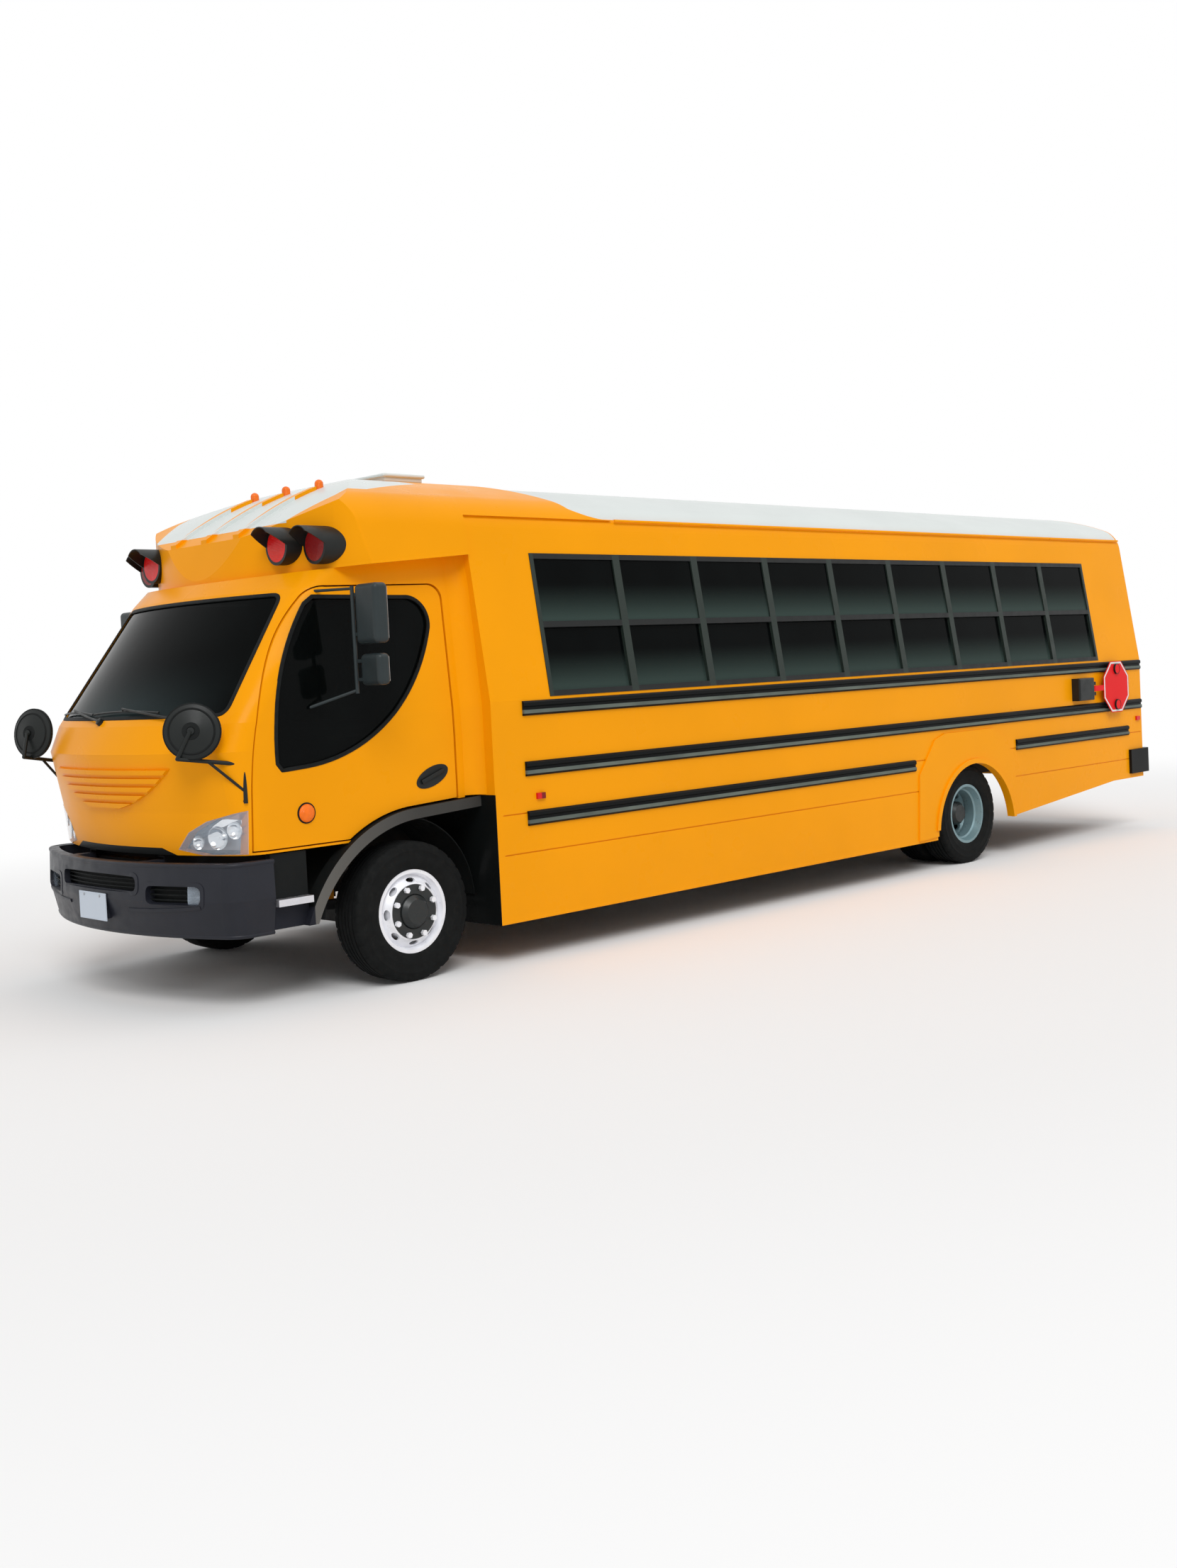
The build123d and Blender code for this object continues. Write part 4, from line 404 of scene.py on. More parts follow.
def side_tint():
    """Side panes, with a painted sheen that pales them towards the foot of each sash."""
    shader = tinted("side_tint", 0.97, 0.03)
    on_side = shader.over(shader.across, SIDE_GLASS_X)
    for foot in SASH_FEET:
        above = shader.over(shader.height, foot - 0.004)
        near = shader.ramp(shader.height, foot, foot + SASH_SHEEN_FADE, 1, 0)
        # painted sheen, fading upwards from each sash's foot
        shader.mix_colour(SASH_SHEEN_GREY, shader.math("POWER", near, 1.5), above, on_side)
    return shader


# where the windscreen's painted sheen fades out, in height and across
SCREEN_SHEEN_Z, SCREEN_SHEEN_X = (1.575, 1.92), (0.2, 0.92)


def screen_tint():
    """Windscreen, with a painted sheen that pales it a little low in its middle."""
    shader = tinted("screen_tint", 0.95, 0.02)
    low = shader.math("POWER", shader.ramp(shader.height, *SCREEN_SHEEN_Z, 1, 0), 1.8)
    return shader.mix_colour(SCREEN_SHEEN_GREY, low, shader.ramp(shader.across, *SCREEN_SHEEN_X, 1, 0))


HUB_R, NUT_R = 0.154, 0.115
FRONT_NUT_X = 1.0965  # the front wheels' nuts stand out past this


def rim_paint(name, base, metallic, axle, nut_x=None):
    """Painted steel wheel: bright rim and cone, black hub, and nuts left bright where they stand proud."""
    shader = metal(name, base, 0.34, metallic)
    along = shader.math("SUBTRACT", shader.behind, axle - AXLE_Y)
    up = shader.math("SUBTRACT", shader.height, TYRE_R)
    radius = shader.math("SQRT", shader.math("ADD", *(shader.product(leg, leg) for leg in (along, up))))
    hub = shader.ramp(radius, HUB_R, HUB_R + 0.004, 1, 0)
    if nut_x:
        nuts = shader.product(shader.over(shader.across, nut_x), shader.over(radius, NUT_R))
        hub = shader.product(hub, shader.math("SUBTRACT", 1.0, nuts))
    return shader.mix_colour(HUB_BLACK, hub)


FLARE_LIP_X = 1.0815  # the lip's outer face
LIP_LIGHT_FADE = (-0.7, 0.1)
FLARE_FOOT_X, FLARE_FOOT_Y, FLARE_FOOT_Z = 1.025, -0.655, 0.545  # the foot that meets the bumper


def flare_finish():
    """Wheel-arch plastic: black inside, with painted light greying the outer lips towards the front."""
    shader = plastic("flare_plastic", JET, 0.55, specular=0.12)
    # painted light on the outer lips, strongest at the front
    front = shader.ramp(shader.behind, *LIP_LIGHT_FADE, 1, 0.35)
    shader.mix_colour(LIP_LIT_GREY, shader.over(shader.across, FLARE_LIP_X), front)
    low = shader.under(shader.height, FLARE_FOOT_Z)
    ahead = shader.under(shader.behind, FLARE_FOOT_Y)
    return shader.mix_colour(BUMPER_GREY, low, ahead, shader.over(shader.across, FLARE_FOOT_X))


OUTER_LAMP_X = 0.82
MARKER_MIDDLE, MARKER_END = 0.899, 1.0  # the side marker's rear half, behind the front axle


def lamp_red():
    """Red lenses; the outer front warning lamps carry painted shade from their hoods, and the rear half of
    the side marker is darker too.
    """
    shader = lens("red_lens", (0.66, 0.008, 0.008), 0.12)
    outer = shader.product(shader.over(shader.across, OUTER_LAMP_X), shader.under(shader.behind, 0))
    marker = shader.within(shader.behind, MARKER_MIDDLE, MARKER_END)
    # painted shade under the outer lamps' hoods, and the darker rear half of the side marker
    return shader.mix_colour(DARKENED_RED, shader.math("MAXIMUM", outer, marker), 0.85)


PAINT = paint("yellow_paint", YELLOW)
ROOF = paint("roof_paint", ROOF_WHITE, 0.38, 0.0)
BUMPER = plastic("bumper_plastic", BUMPER_GREY, 0.40, 500)
PLASTIC = plastic("black_plastic", (0.009, 0.011, 0.0105), 0.42)
TYRE = rubber("tyre_rubber")
SEAL = rubber("seal_rubber", JET, 0.6)
STEEL = metal("spring_steel", (0.08, 0.08, 0.082), 0.5, 0.7)
ALLOY = metal("cast_alloy", (0.42, 0.43, 0.45), 0.45, 0.9)
CHROME = metal("bright_chrome", (0.88, 0.89, 0.9), 0.08, 1.0)
MIRROR = metal("mirror_glass", (0.82, 0.86, 0.88), 0.03, 1.0)
AMBER = lens("amber_lens", (0.86, 0.165, 0.008), 0.15)
PLATE = paint("plate_white", (0.60, 0.66, 0.74), 0.4, 0.0)
SIGN_WHITE = paint("sign_white", (0.75, 0.75, 0.75), 0.4, 0.0)
VINYL = vinyl("seat_vinyl", (0.022, 0.035, 0.075))
CLOTH = woven("cab_seat_cloth", (0.035, 0.036, 0.042))

FINISH = (
    (front_paint(), "body_front"),
    (cab_paint(), "cab_shell"),
    (PAINT,
     "cab_door_left cab_door_right louvre_panel body_side_left body_side_right "
     "rear_wall emergency_door wheel_panels"),
    (cap_paint(), "roof_cap"),
    (ROOF, "roof_panel"),
    (paint("black_paint", JET, 0.34), "rear_bumper entry_portal entry_leaf_front entry_leaf_rear"),
    (rail_paint(), "rub_rails"),
    (frame_finish(), "window_frames"),
    (flare_finish(), "arch_flares"),
    (BUMPER, "front_bumper"),
    (plastic("mirror_housing", (0.022, 0.030, 0.032), 0.38, 600), "side_mirror_left side_mirror_right"),
    (PLASTIC, "crossview_mirrors steering_wheel stop_motor lamp_hoods"),
    (plastic("dash_plastic", (0.05, 0.05, 0.053), 0.6), "dashboard"),
    (rubber("floor_rubber", (0.05, 0.05, 0.052), 0.7), "body_floor"),
    (paint("frame_paint", (0.012, 0.012, 0.013), 0.5, 0.5), "chassis_frame"),
    (paint("battery_paint", (0.06, 0.065, 0.07), 0.5, 0.4), "battery_packs"),
    (metal("cast_iron", (0.035, 0.034, 0.033), 0.62, 0.5), "knuckle_left knuckle_right front_axle rear_axle"),
    (STEEL, "tie_rod leaf_springs"),
    (ALLOY, "drive_motor"),
    (metal("step_alloy", (0.72, 0.72, 0.76), 0.3, 0.9), "cab_steps"),
    (rim_paint("rim_silver", (0.90, 0.91, 0.95), 0.15, AXLE_Y, FRONT_NUT_X),
     "rim_front_left rim_front_right"),
    (rim_paint("rim_blue_grey", (0.20, 0.31, 0.34), 0.3, REAR_Y), "rims_rear_left rims_rear_right"),
    (side_tint(), "side_glass"),
    (screen_tint(), "windscreen"),
    (tinted("door_tint", 0.92),
     "door_glass_left door_glass_right entry_glass_front entry_glass_rear emergency_glass"),
    (Shader("clear_lens", (0.66, 0.78, 0.92), 0.05, coat=0.8, alpha=0.30, specular=0.6).vary(10, 0.7, 0.6),
     "front_lamps"),
    (lamp_red(), "red_lamps"),
    (AMBER, "marker_lamps"),
    (PLATE, "licence_plate"),
    (paint("sign_red", (0.78, 0.014, 0.016), 0.35, 0.0), "stop_arm"),
)
for shader, names in FINISH:
    for name in names.split():
        NODES[name].data.materials.clear()
        NODES[name].data.materials.append(shader.material)


# ---- mesh helpers
SHARP_FROM = radians(38)


def mesh_of(name, bm, shader):
    mesh = bpy.data.meshes.new(name)
    bm.to_mesh(mesh)
    bm.free()
    mesh.materials.append(shader.material)
    return mesh


def piece(name, bm, shader, body="chassis", smooth=True):
    """Turn a bmesh into a named piece that rides on a body."""
    bmesh.ops.recalc_face_normals(bm, faces=bm.faces)
    mesh = mesh_of(name, bm, shader)
    if smooth:
        mesh.shade_smooth()
        mesh.set_sharp_from_angle(angle=SHARP_FROM)
    made = add(name, mesh)
    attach(made, body)
    return made


def loft(bm, sections, ring=False):
    """Skin loops of points, either back round to the first one or with a cap at both ends."""
    rows = [[bm.verts.new(point) for point in section] for section in sections]
    pairs = list(zip(rows, rows[1:]))
    if ring:
        pairs.append((rows[-1], rows[0]))
    for a, b in pairs:
        for i in range(len(a)):
            j = (i + 1) % len(a)
            bm.faces.new((a[i], a[j], b[j], b[i]))
    if not ring:
        bm.faces.new(rows[0])
        bm.faces.new(rows[-1])


def lathe(bm, profile, centre, axis, segments, ring=True):
    """Revolve (along, radius) points about an axis; a radius may be a function of the step round it."""
    axis = Vector(axis).normalized()
    side = axis.orthogonal().normalized()
    other = axis.cross(side)
    spokes = [side * cos(2 * pi * i / segments) + other * sin(2 * pi * i / segments) for i in range(segments)]
    sections = []
    for along, radius in profile:
        foot = centre + axis * along
        sections.append([foot + spoke * (radius(i) if callable(radius) else radius)
                         for i, spoke in enumerate(spokes)])
    loft(bm, sections, ring)


def disc(bm, profile, centre, axis, segments=40):
    """A lathe form closed at both ends by a flat cap."""
    lathe(bm, profile, centre, axis, segments, ring=False)


def slab(bm, centre, size, round_by, turn=None):
    """A box with rounded edges."""
    turned = turn.to_4x4() if turn else Matrix.Identity(4)
    placed = Matrix.Translation(centre) @ turned @ Matrix.Diagonal((*size, 1))
    verts = bmesh.ops.create_cube(bm, size=1.0, matrix=placed)["verts"]
    edges = list({edge for vert in verts for edge in vert.link_edges})
    bmesh.ops.bevel(bm, geom=edges, offset=round_by, segments=3, affect="EDGES", profile=0.5)


STRIP_SINK = 0.002  # how far a strip's foot lies in the surface it follows


def strip(bm, points, normals, half, lift, ring=True):
    """A shallow raised ribbon that follows points lying on a surface."""
    count = len(points)
    section = ((-1, -STRIP_SINK), (-0.8, lift * 0.8), (0, lift), (0.8, lift * 0.8), (1, -STRIP_SINK))
    sections = []
    for i, (point, normal) in enumerate(zip(points, normals)):
        ahead = points[(i + 1) % count] if ring or i < count - 1 else point
        behind = points[i - 1] if ring or i else point
        across = (ahead - behind).normalized().cross(normal).normalized() * half
        sections.append([point + across * side + normal * up for side, up in section])
    loft(bm, sections, ring)


def tube(bm, points, radius, segments=10):
    """A round bar through points, closed at its ends."""
    turns = [2 * pi * k / segments for k in range(segments)]
    sections = []
    side = None
    for i, point in enumerate(points):
        way = (points[min(i + 1, len(points) - 1)] - points[max(i - 1, 0)]).normalized()
        side = way.orthogonal() if side is None else side - way * side.dot(way)
        side.normalize()
        other = way.cross(side)
        sections.append([point + (side * cos(turn) + other * sin(turn)) * radius for turn in turns])
    loft(bm, sections)


def rounded(points, radius, steps=6):
    """Corners of a closed outline replaced by arcs, in the outline's own plane coordinates."""
    out = []
    for i, point in enumerate(points):
        here = Vector(point)
        before = Vector(points[i - 1]) - here
        after = Vector(points[(i + 1) % len(points)]) - here
        reach = min(radius, before.length * 0.45, after.length * 0.45)
        a, b = here + before.normalized() * reach, here + after.normalized() * reach
        for t in (k / steps for k in range(steps + 1)):
            out.append((1 - t) ** 2 * a + 2 * t * (1 - t) * here + t * t * b)
    return out


def resample(points, spacing):
    """Points at an even spacing round a closed outline."""
    out = []
    for a, b in zip(points, points[1:] + points[:1]):
        steps = max(1, int((b - a).length / spacing))
        out += [a.lerp(b, k / steps) for k in range(steps)]
    return out


def arc_points(a, via, b, steps=14):
    """Points on the circle arc from a through via to b, in a plane."""
    a, via, b = (complex(*point) for point in (a, via, b))
    ratio = (b - a) / (via - a)
    centre = a - (a - via) * (ratio - abs(ratio) ** 2) / 2j / ratio.imag
    halt, sweep = (phase((point - centre) / (a - centre)) % (2 * pi) for point in (via, b))
    if halt > sweep:
        sweep -= 2 * pi
    points = [centre + (a - centre) * rect(1, sweep * k / steps) for k in range(steps + 1)]
    return [Vector((point.real, point.imag)) for point in points]


# ---- the cab's and the bumper's skins
# height, foremost point behind the axle, half width
CAB_LEVELS = ((0.83, -1.238, 1.046), (1.06, -1.264, 1.05), (1.38, -1.326, 1.05), (1.53, -1.262, 1.046),
              (2.24, -0.728, 0.985), (2.44, -0.52, 0.948))
CAB_RADII = (2.4, 0.16)  # in plan, of the nose and of its corners
BUMPER_LEVELS = ((0.4, -1.336, 1.03), (0.6, -1.384, 1.066), (0.8, -1.374, 1.06))
BUMPER_RADII = (2.35, 0.13)
BUMPER_END = -0.881  # where its sides end, behind the axle


def level_at(levels, z):
    """Front, half width and their slopes at a height."""
    for (z0, y0, h0), (z1, y1, h1) in zip(levels, levels[1:]):
        if z <= z1:
            t = (z - z0) / (z1 - z0)
            return y0 + (y1 - y0) * t, h0 + (h1 - h0) * t, (y1 - y0) / (z1 - z0), (h1 - h0) / (z1 - z0)


def on_front(levels, radii, x, z, proud=0.0):
    """Point and outward normal on a bowed front with rounded corners."""
    nose_r, corner_r = radii
    front, half, lean, _ = level_at(levels, z)
    centre_y = front + nose_r
    corner_y = centre_y - sqrt(nose_r ** 2 - half ** 2)
    turn = pi / 2 - asin(half / nose_r)
    corner_centre = Vector((half - corner_r, corner_y + corner_r * tan(turn / 2)))
    arc_end = corner_centre + (corner_centre - Vector((0, centre_y))).normalized() * corner_r
    if abs(x) <= arc_end.x:
        y = centre_y - sqrt(nose_r ** 2 - x * x)
        flat = Vector((x, y - centre_y, 0)).normalized()
    else:
        dx = min(abs(x) - corner_centre.x, corner_r * 0.999)
        dy = -sqrt(corner_r ** 2 - dx * dx)
        y = corner_centre.y + dy
        flat = Vector((copysign(dx, x), dy, 0)).normalized()
    normal = (flat + Vector((0, 0, lean)) * abs(flat.y)).normalized()
    return at(x, y, z) + normal * proud, normal


on_nose = partial(on_front, CAB_LEVELS, CAB_RADII)
on_bumper = partial(on_front, BUMPER_LEVELS, BUMPER_RADII)


def in_nose(x, z, depth):
    """A point straight behind the cab's skin, and the level direction out of it."""
    skin, normal = on_nose(x, z)
    out = Vector((normal.x, normal.y, 0)).normalized()
    return skin - out * depth, out


def on_flank(out, behind, z):
    """Point and outward normal on the side of the cab."""
    _, half, _, lean = level_at(CAB_LEVELS, z)
    return at(out * half, behind, z), Vector((out, 0, -lean)).normalized()


def outline_strip(name, outline, place, half, lift, body="chassis"):
    """A rubber seal along an outline on a skin."""
    bm = bmesh.new()
    points, normals = zip(*(place(*point) for point in outline))
    strip(bm, points, normals, half, lift)
    piece(name, bm, SEAL, body)


def curved_plate(bm, place, spans, near, far):
    """A thin closed plate that follows a skin between two depths; spans hold x, low and high."""
    sections = []
    for x, low, high in spans:
        corners = ((low, near), (high, near), (high, far), (low, far))
        sections.append([place(x, z, depth)[0] for z, depth in corners])
    loft(bm, sections)


# ---- tyres
TYRE_HALF_PROFILE = (
    # distance from the tyre's middle, radius
    (0.0915, 0.2385), (0.101, 0.24), (0.106, 0.246), (0.11, 0.258), (0.115, 0.28), (0.1166, 0.295),
    (0.1174, 0.297), (0.1174, 0.301), (0.1168, 0.303), (0.1172, 0.325), (0.116, 0.344), (0.1172, 0.346),
    (0.117, 0.349), (0.1148, 0.352), (0.112, 0.37), (0.109, 0.382), (0.103, 0.3915), (0.094, 0.3958),
    (0.08, 0.3972), (0.07, 0.3978), (0.0688, 0.388), (0.0612, 0.388), (0.06, 0.398), (0.035, 0.3984),
    (0.0338, 0.3884), (0.0262, 0.3884), (0.025, 0.3985), (0.006, 0.3985), (0.005, 0.39),
)
CAD_TYRE_HALF = 0.1175
TREAD_STEPS = 180
NOTCH_EVERY, NOTCH_DEPTH = 6, 0.007
NOTCH_FROM, NOTCH_FROM_R = 0.079, 0.378  # shoulder points further out than these are notched
# wheel, axle, tyres side by side, body, node
TYRES = (("front", AXLE_Y, 1, "wheel_front", "tyre_front"), ("rear", REAR_Y, 2, "wheels_rear", "tyres_rear"))


def notched(radius):
    return lambda step: radius - (0 if step % NOTCH_EVERY else NOTCH_DEPTH)


def tyre(bm, centre):
    """One road tyre: bulged sidewalls with ribs, circumferential grooves and shoulder notches."""
    half = []
    for along, radius in TYRE_HALF_PROFILE:
        shoulder = along > NOTCH_FROM and radius > NOTCH_FROM_R
        half.append((along, notched(radius) if shoulder else radius))
    whole = half + [(-along, radius) for along, radius in reversed(half)]
    lathe(bm, whole, centre, (1, 0, 0), TREAD_STEPS)


def make_tyres():
    for wheel, axle, count, body, node in TYRES:
        for side, _ in SIDES:
            low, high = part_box(f"{node}_{side}")
            bm = bmesh.new()
            for x in (low.x + CAD_TYRE_HALF, high.x - CAD_TYRE_HALF)[:count]:
                tyre(bm, Vector((x, axle, TYRE_R)))
            made = piece(f"tread_{wheel}_{side}", bm, TYRE, f"{body}_{side}")
            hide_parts(f"{node}_{side}")


make_tyres()


# ---- seats
PAD_CELLS = (14, 8, 6)
PAD_CROWN, PAD_PINCH, PAD_SQUARENESS = 0.35, 0.035, 6.0


def pad_point(share, size):
    """A point of a crowned pad: share runs from -1 to 1 each way over a cube's surface."""
    corner = sum(abs(c) ** PAD_SQUARENESS for c in share)
    p = Vector(share) * (corner ** (-1 / PAD_SQUARENESS) if corner > 1 else 1.0)
    swell = (1 + PAD_CROWN * (1 - p.x ** 2) * (1 - p.y ** 2)) / (1 + PAD_CROWN)
    draw = 1 - PAD_PINCH * p.x ** 2 * p.y ** 2
    return Vector((p.x * draw * size[0], p.y * draw * size[1], p.z * swell * size[2])) / 2


def cushion(bm, size):
    """A crowned pad: corners drawn in, broad faces swelling, centred on its own origin."""
    grid = {}

    def vert(step):
        if step not in grid:
            share = [2 * k / cells - 1 for k, cells in zip(step, PAD_CELLS)]
            grid[step] = bm.verts.new(pad_point(share, size))
        return grid[step]

    for axis, u, v in ((2, 0, 1), (1, 0, 2), (0, 1, 2)):
        for i, j, end in product(range(PAD_CELLS[u]), range(PAD_CELLS[v]), (0, PAD_CELLS[axis])):
            corners = []
            for du, dv in ((0, 0), (1, 0), (1, 1), (0, 1)):
                step = {axis: end, u: i + du, v: j + dv}
                corners.append(vert((step[0], step[1], step[2])))
            bm.faces.new(corners)


def pad(name, centre, size, lean, shader, node):
    """A cushion that leans by the given angle and stands for the CAD node."""
    bm = bmesh.new()
    cushion(bm, size)
    matrix = Matrix.Translation(centre) @ Matrix.Rotation(lean, 4, "X")
    bmesh.ops.transform(bm, matrix=matrix, verts=bm.verts)
    made = piece(name, bm, shader, "chassis")
    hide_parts(node)


FLOOR_Z = 0.9
BENCH_PITCH, BENCH_IN, BENCH_OUT = 0.73, 0.195, 1.125
BENCH_ROWS = (("left", LEFT, 0.900, 10), ("right", RIGHT, 1.800, 9))  # side, out, first row's front, rows
# part, behind the bench's front, above the floor, depth, height, lean
BENCH_PADS = (("seat", 0.225, 0.380, 0.44, 0.105, 0.0), ("back", 0.492, 0.580, 0.085, 0.40, -radians(12.5)))
BENCH_LEG_X = (BENCH_IN + 0.06, BENCH_OUT - 0.1)
BENCH_LEGS = ((0.15, 0.14), (0.4, 0.41))  # each leg's top and foot behind the bench's front
BENCH_LEG_TOP, BENCH_LEG_FOOT, BENCH_LEG_R = 0.335, 0.001, 0.014


def make_benches():
    bm = bmesh.new()
    middle, wide = (BENCH_IN + BENCH_OUT) / 2, BENCH_OUT - BENCH_IN
    for side, out, first, rows in BENCH_ROWS:
        for row in range(rows):
            front = first + row * BENCH_PITCH
            for part, behind, up, depth, height, lean in BENCH_PADS:
                pad(f"bench_{part}_{side}_{row + 1}", at(out * middle, front + behind, FLOOR_Z + up),
                    (wide, depth, height), lean, VINYL, "passenger_seats")
            for x in BENCH_LEG_X:
                for top, foot in BENCH_LEGS:
                    ends = ((front + top, BENCH_LEG_TOP), (front + foot, BENCH_LEG_FOOT))
                    tube(bm, [at(out * x, behind, FLOOR_Z + up) for behind, up in ends], BENCH_LEG_R)
    frames = piece("bench_frames", bm, STEEL, "chassis")
    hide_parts("passenger_seats")


CAB_FLOOR_Z, CAB_SEAT_FRONT, CAB_SEAT_X = 1.06, -0.3, 0.45
# part, behind the seat's front, above the cab's floor, size, lean
CAB_PADS = (
    ("base", 0.245, 0.385, (0.48, 0.46, 0.12), 0.0),
    ("back", 0.520, 0.700, (0.46, 0.11, 0.58), -radians(9)),
)
CAB_STAND = (0.26, 0.165, (0.34, 0.38, 0.328), 0.02)


def make_cab_seats():
    bm = bmesh.new()
    for side, out in SIDES:
        for part, behind, up, size, lean in CAB_PADS:
            pad(f"cab_seat_{part}_{side}", at(out * CAB_SEAT_X, CAB_SEAT_FRONT + behind, CAB_FLOOR_Z + up),
                size, lean, CLOTH, "cab_seats")
        behind, up, size, round_by = CAB_STAND
        slab(bm, at(out * CAB_SEAT_X, CAB_SEAT_FRONT + behind, CAB_FLOOR_Z + up), size, round_by)
    stands = piece("cab_seat_stands", bm, PLASTIC)
    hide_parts("cab_seats")


make_benches()
make_cab_seats()


# ---- cab details
WINDSCREEN = ((-0.926, 1.575), (0.926, 1.575), (0.84, 2.213), (-0.84, 2.213))
SCREEN_CORNER, SEAL_STEP = 0.055, 0.03
HANDLE_AT = (0.215, 1.148)  # behind the axle, height
HANDLE_TILT = radians(20)
HANDLE_LONG, HANDLE_TALL = 2.1, 0.95  # how far the round dish is drawn out to an oval
HANDLE_BAR = (0.01, 0.17, 0.026)
HANDLE_DISH = ((-0.001, 0.058), (0.003, 0.058), (0.004, 0.052), (0.001, 0.046))
REPEATER_AT = (-0.655, 1.022)
REPEATER_DOME = ((0.001, 0.05), (0.008, 0.049), (0.017, 0.04), (0.0225, 0.026), (0.0245, 0.01),
                 (0.0247, 0.001))
REPEATER_RING = ((-0.001, 0.05), (-0.001, 0.0575), (0.004, 0.057), (0.006, 0.054), (0.006, 0.05))


def door_window_outline():
    """The door window's edge as (behind the axle, height)."""
    front = arc_points((-0.82, 1.3), (-0.79, 1.64), (-0.56, 2.15))
    top = [Vector((-0.56, 2.15)), Vector((-0.5, 2.19))]
    rear = arc_points((0.12, 2.185), (0.245, 2.135), (0.28, 2.01))
    sweep = arc_points((0.28, 2.01), (0.026, 1.578), (-0.64, 1.272), 24)
    return front + top + rear + sweep[1:] + [Vector((-0.79, 1.262))]


def make_door_details(side, out):
    """Window seal, oval handle dish with its handle, and a domed amber side lamp on a dark ring."""
    body = f"cab_door_{side}"
    window = resample(door_window_outline(), SEAL_STEP)
    outline_strip(f"door_seal_{side}", window, lambda y, z: on_flank(out, y, z), 0.012, 0.004, body)

    bm = bmesh.new()
    centre, normal = on_flank(out, *HANDLE_AT)
    disc(bm, HANDLE_DISH, Vector(), (1, 0, 0))
    oval = Matrix.Diagonal((out, HANDLE_LONG, HANDLE_TALL, 1))
    shape = Matrix.Translation(centre) @ Matrix.Rotation(HANDLE_TILT, 4, "X") @ oval
    bmesh.ops.transform(bm, matrix=shape, verts=bm.verts)
    slab(bm, centre + normal * 0.007, HANDLE_BAR, 0.004, Matrix.Rotation(HANDLE_TILT, 3, "X"))
    piece(f"door_handle_{side}", bm, PLASTIC, body)

    centre, normal = on_flank(out, *REPEATER_AT)
    bm = bmesh.new()
    disc(bm, REPEATER_DOME, centre, normal, 36)
    piece(f"side_repeater_{side}", bm, AMBER, body)
    bm = bmesh.new()
    lathe(bm, REPEATER_RING, centre, normal, 36)
    piece(f"repeater_ring_{side}", bm, SEAL, body)


WIPERS = (("left", 0.62), ("right", -0.06))  # name, pivot's x
WIPER_Z, WIPER_REACH, WIPER_RISE = 1.553, -0.6, 0.075
ARM_OFF, ARM_BOW = 0.02, 0.008  # off the glass at its ends, and the further bow between them
ARM_STEPS = (0, 0.15, 0.35, 0.6, 0.8)
BLADE_STEPS = (-1, -0.66, -0.33, 0, 0.33, 0.66, 1)
BLADE_Z, BLADE_HALF, BLADE_OFF, BLADE_SAG = 1.606, 0.33, 0.01, 0.012


def make_wipers():
    for name, x in WIPERS:
        bm = bmesh.new()
        base, normal = on_nose(x, WIPER_Z)
        disc(bm, ((-0.005, 0.022), (0.02, 0.02), (0.024, 0.012)), base, normal, 20)
        arm = [on_nose(x + WIPER_REACH * t, WIPER_Z + WIPER_RISE * t, ARM_OFF + ARM_BOW * sin(pi * t))[0]
               for t in ARM_STEPS]
        tube(bm, arm, 0.0065, 8)
        tip = x + WIPER_REACH * ARM_STEPS[-1]
        blade = [on_nose(tip + BLADE_HALF * t, BLADE_Z - BLADE_SAG * t * t, BLADE_OFF)[0]
                 for t in BLADE_STEPS]
        tube(bm, blade, 0.006, 8)
        tube(bm, [arm[-1], blade[len(blade) // 2]], 0.006, 8)
        piece(f"wiper_{name}", bm, PLASTIC)


# distance from the middle, height, radius
HEADLAMP_BOWLS = ((0.85, 0.925, 0.062), (0.72, 0.898, 0.036), (0.96, 0.965, 0.045))
BOWL_DEPTH, BACK_DEPTH, BACK_THICK = 0.042, 0.054, 0.003
BACK_STEPS = (0.62, 0.7, 0.78, 0.86, 0.93, 0.985)
BACK_LOW, BACK_HIGH = 0.855, 1.02
BACK_RISE = (0.616, 0.42)  # the backing's top edge: its height at the bus's middle, and its slope


def bowl_profile(radius):
    """Section of a reflector bowl with its lamp's tip in the middle."""
    return ((0.03, radius), (0.018, radius * 0.86), (0.006, radius * 0.58), (0.0, radius * 0.24),
            (0.012, radius * 0.2), (0.013, 0.002), (-0.003, 0.002), (-0.003, radius * 0.6),
            (0.014, radius * 0.94), (0.03, radius * 1.03))


def make_headlamps():
    """Reflector bowls and a dark backing inside the clear lamp bodies."""
    bowls = bmesh.new()
    backs = bmesh.new()
    for out in (LEFT, RIGHT):
        for x, z, radius in HEADLAMP_BOWLS:
            centre, ahead = in_nose(out * x, z, BOWL_DEPTH)
            lathe(bowls, bowl_profile(radius), centre, ahead, 32)
        spans = [(out * x, BACK_LOW, min(BACK_RISE[0] + BACK_RISE[1] * x, BACK_HIGH)) for x in BACK_STEPS]
        curved_plate(backs, in_nose, spans, BACK_DEPTH, BACK_DEPTH + BACK_THICK)
    piece("lamp_bowls", bowls, CHROME, "chassis")
    piece("lamp_backs", backs, ALLOY, "chassis")


screen_edge = resample(rounded(WINDSCREEN, SCREEN_CORNER), SEAL_STEP)
outline_strip("windscreen_seal", screen_edge, on_nose, 0.013, 0.004)
for side, out in SIDES:
    make_door_details(side, out)
make_wipers()
make_headlamps()


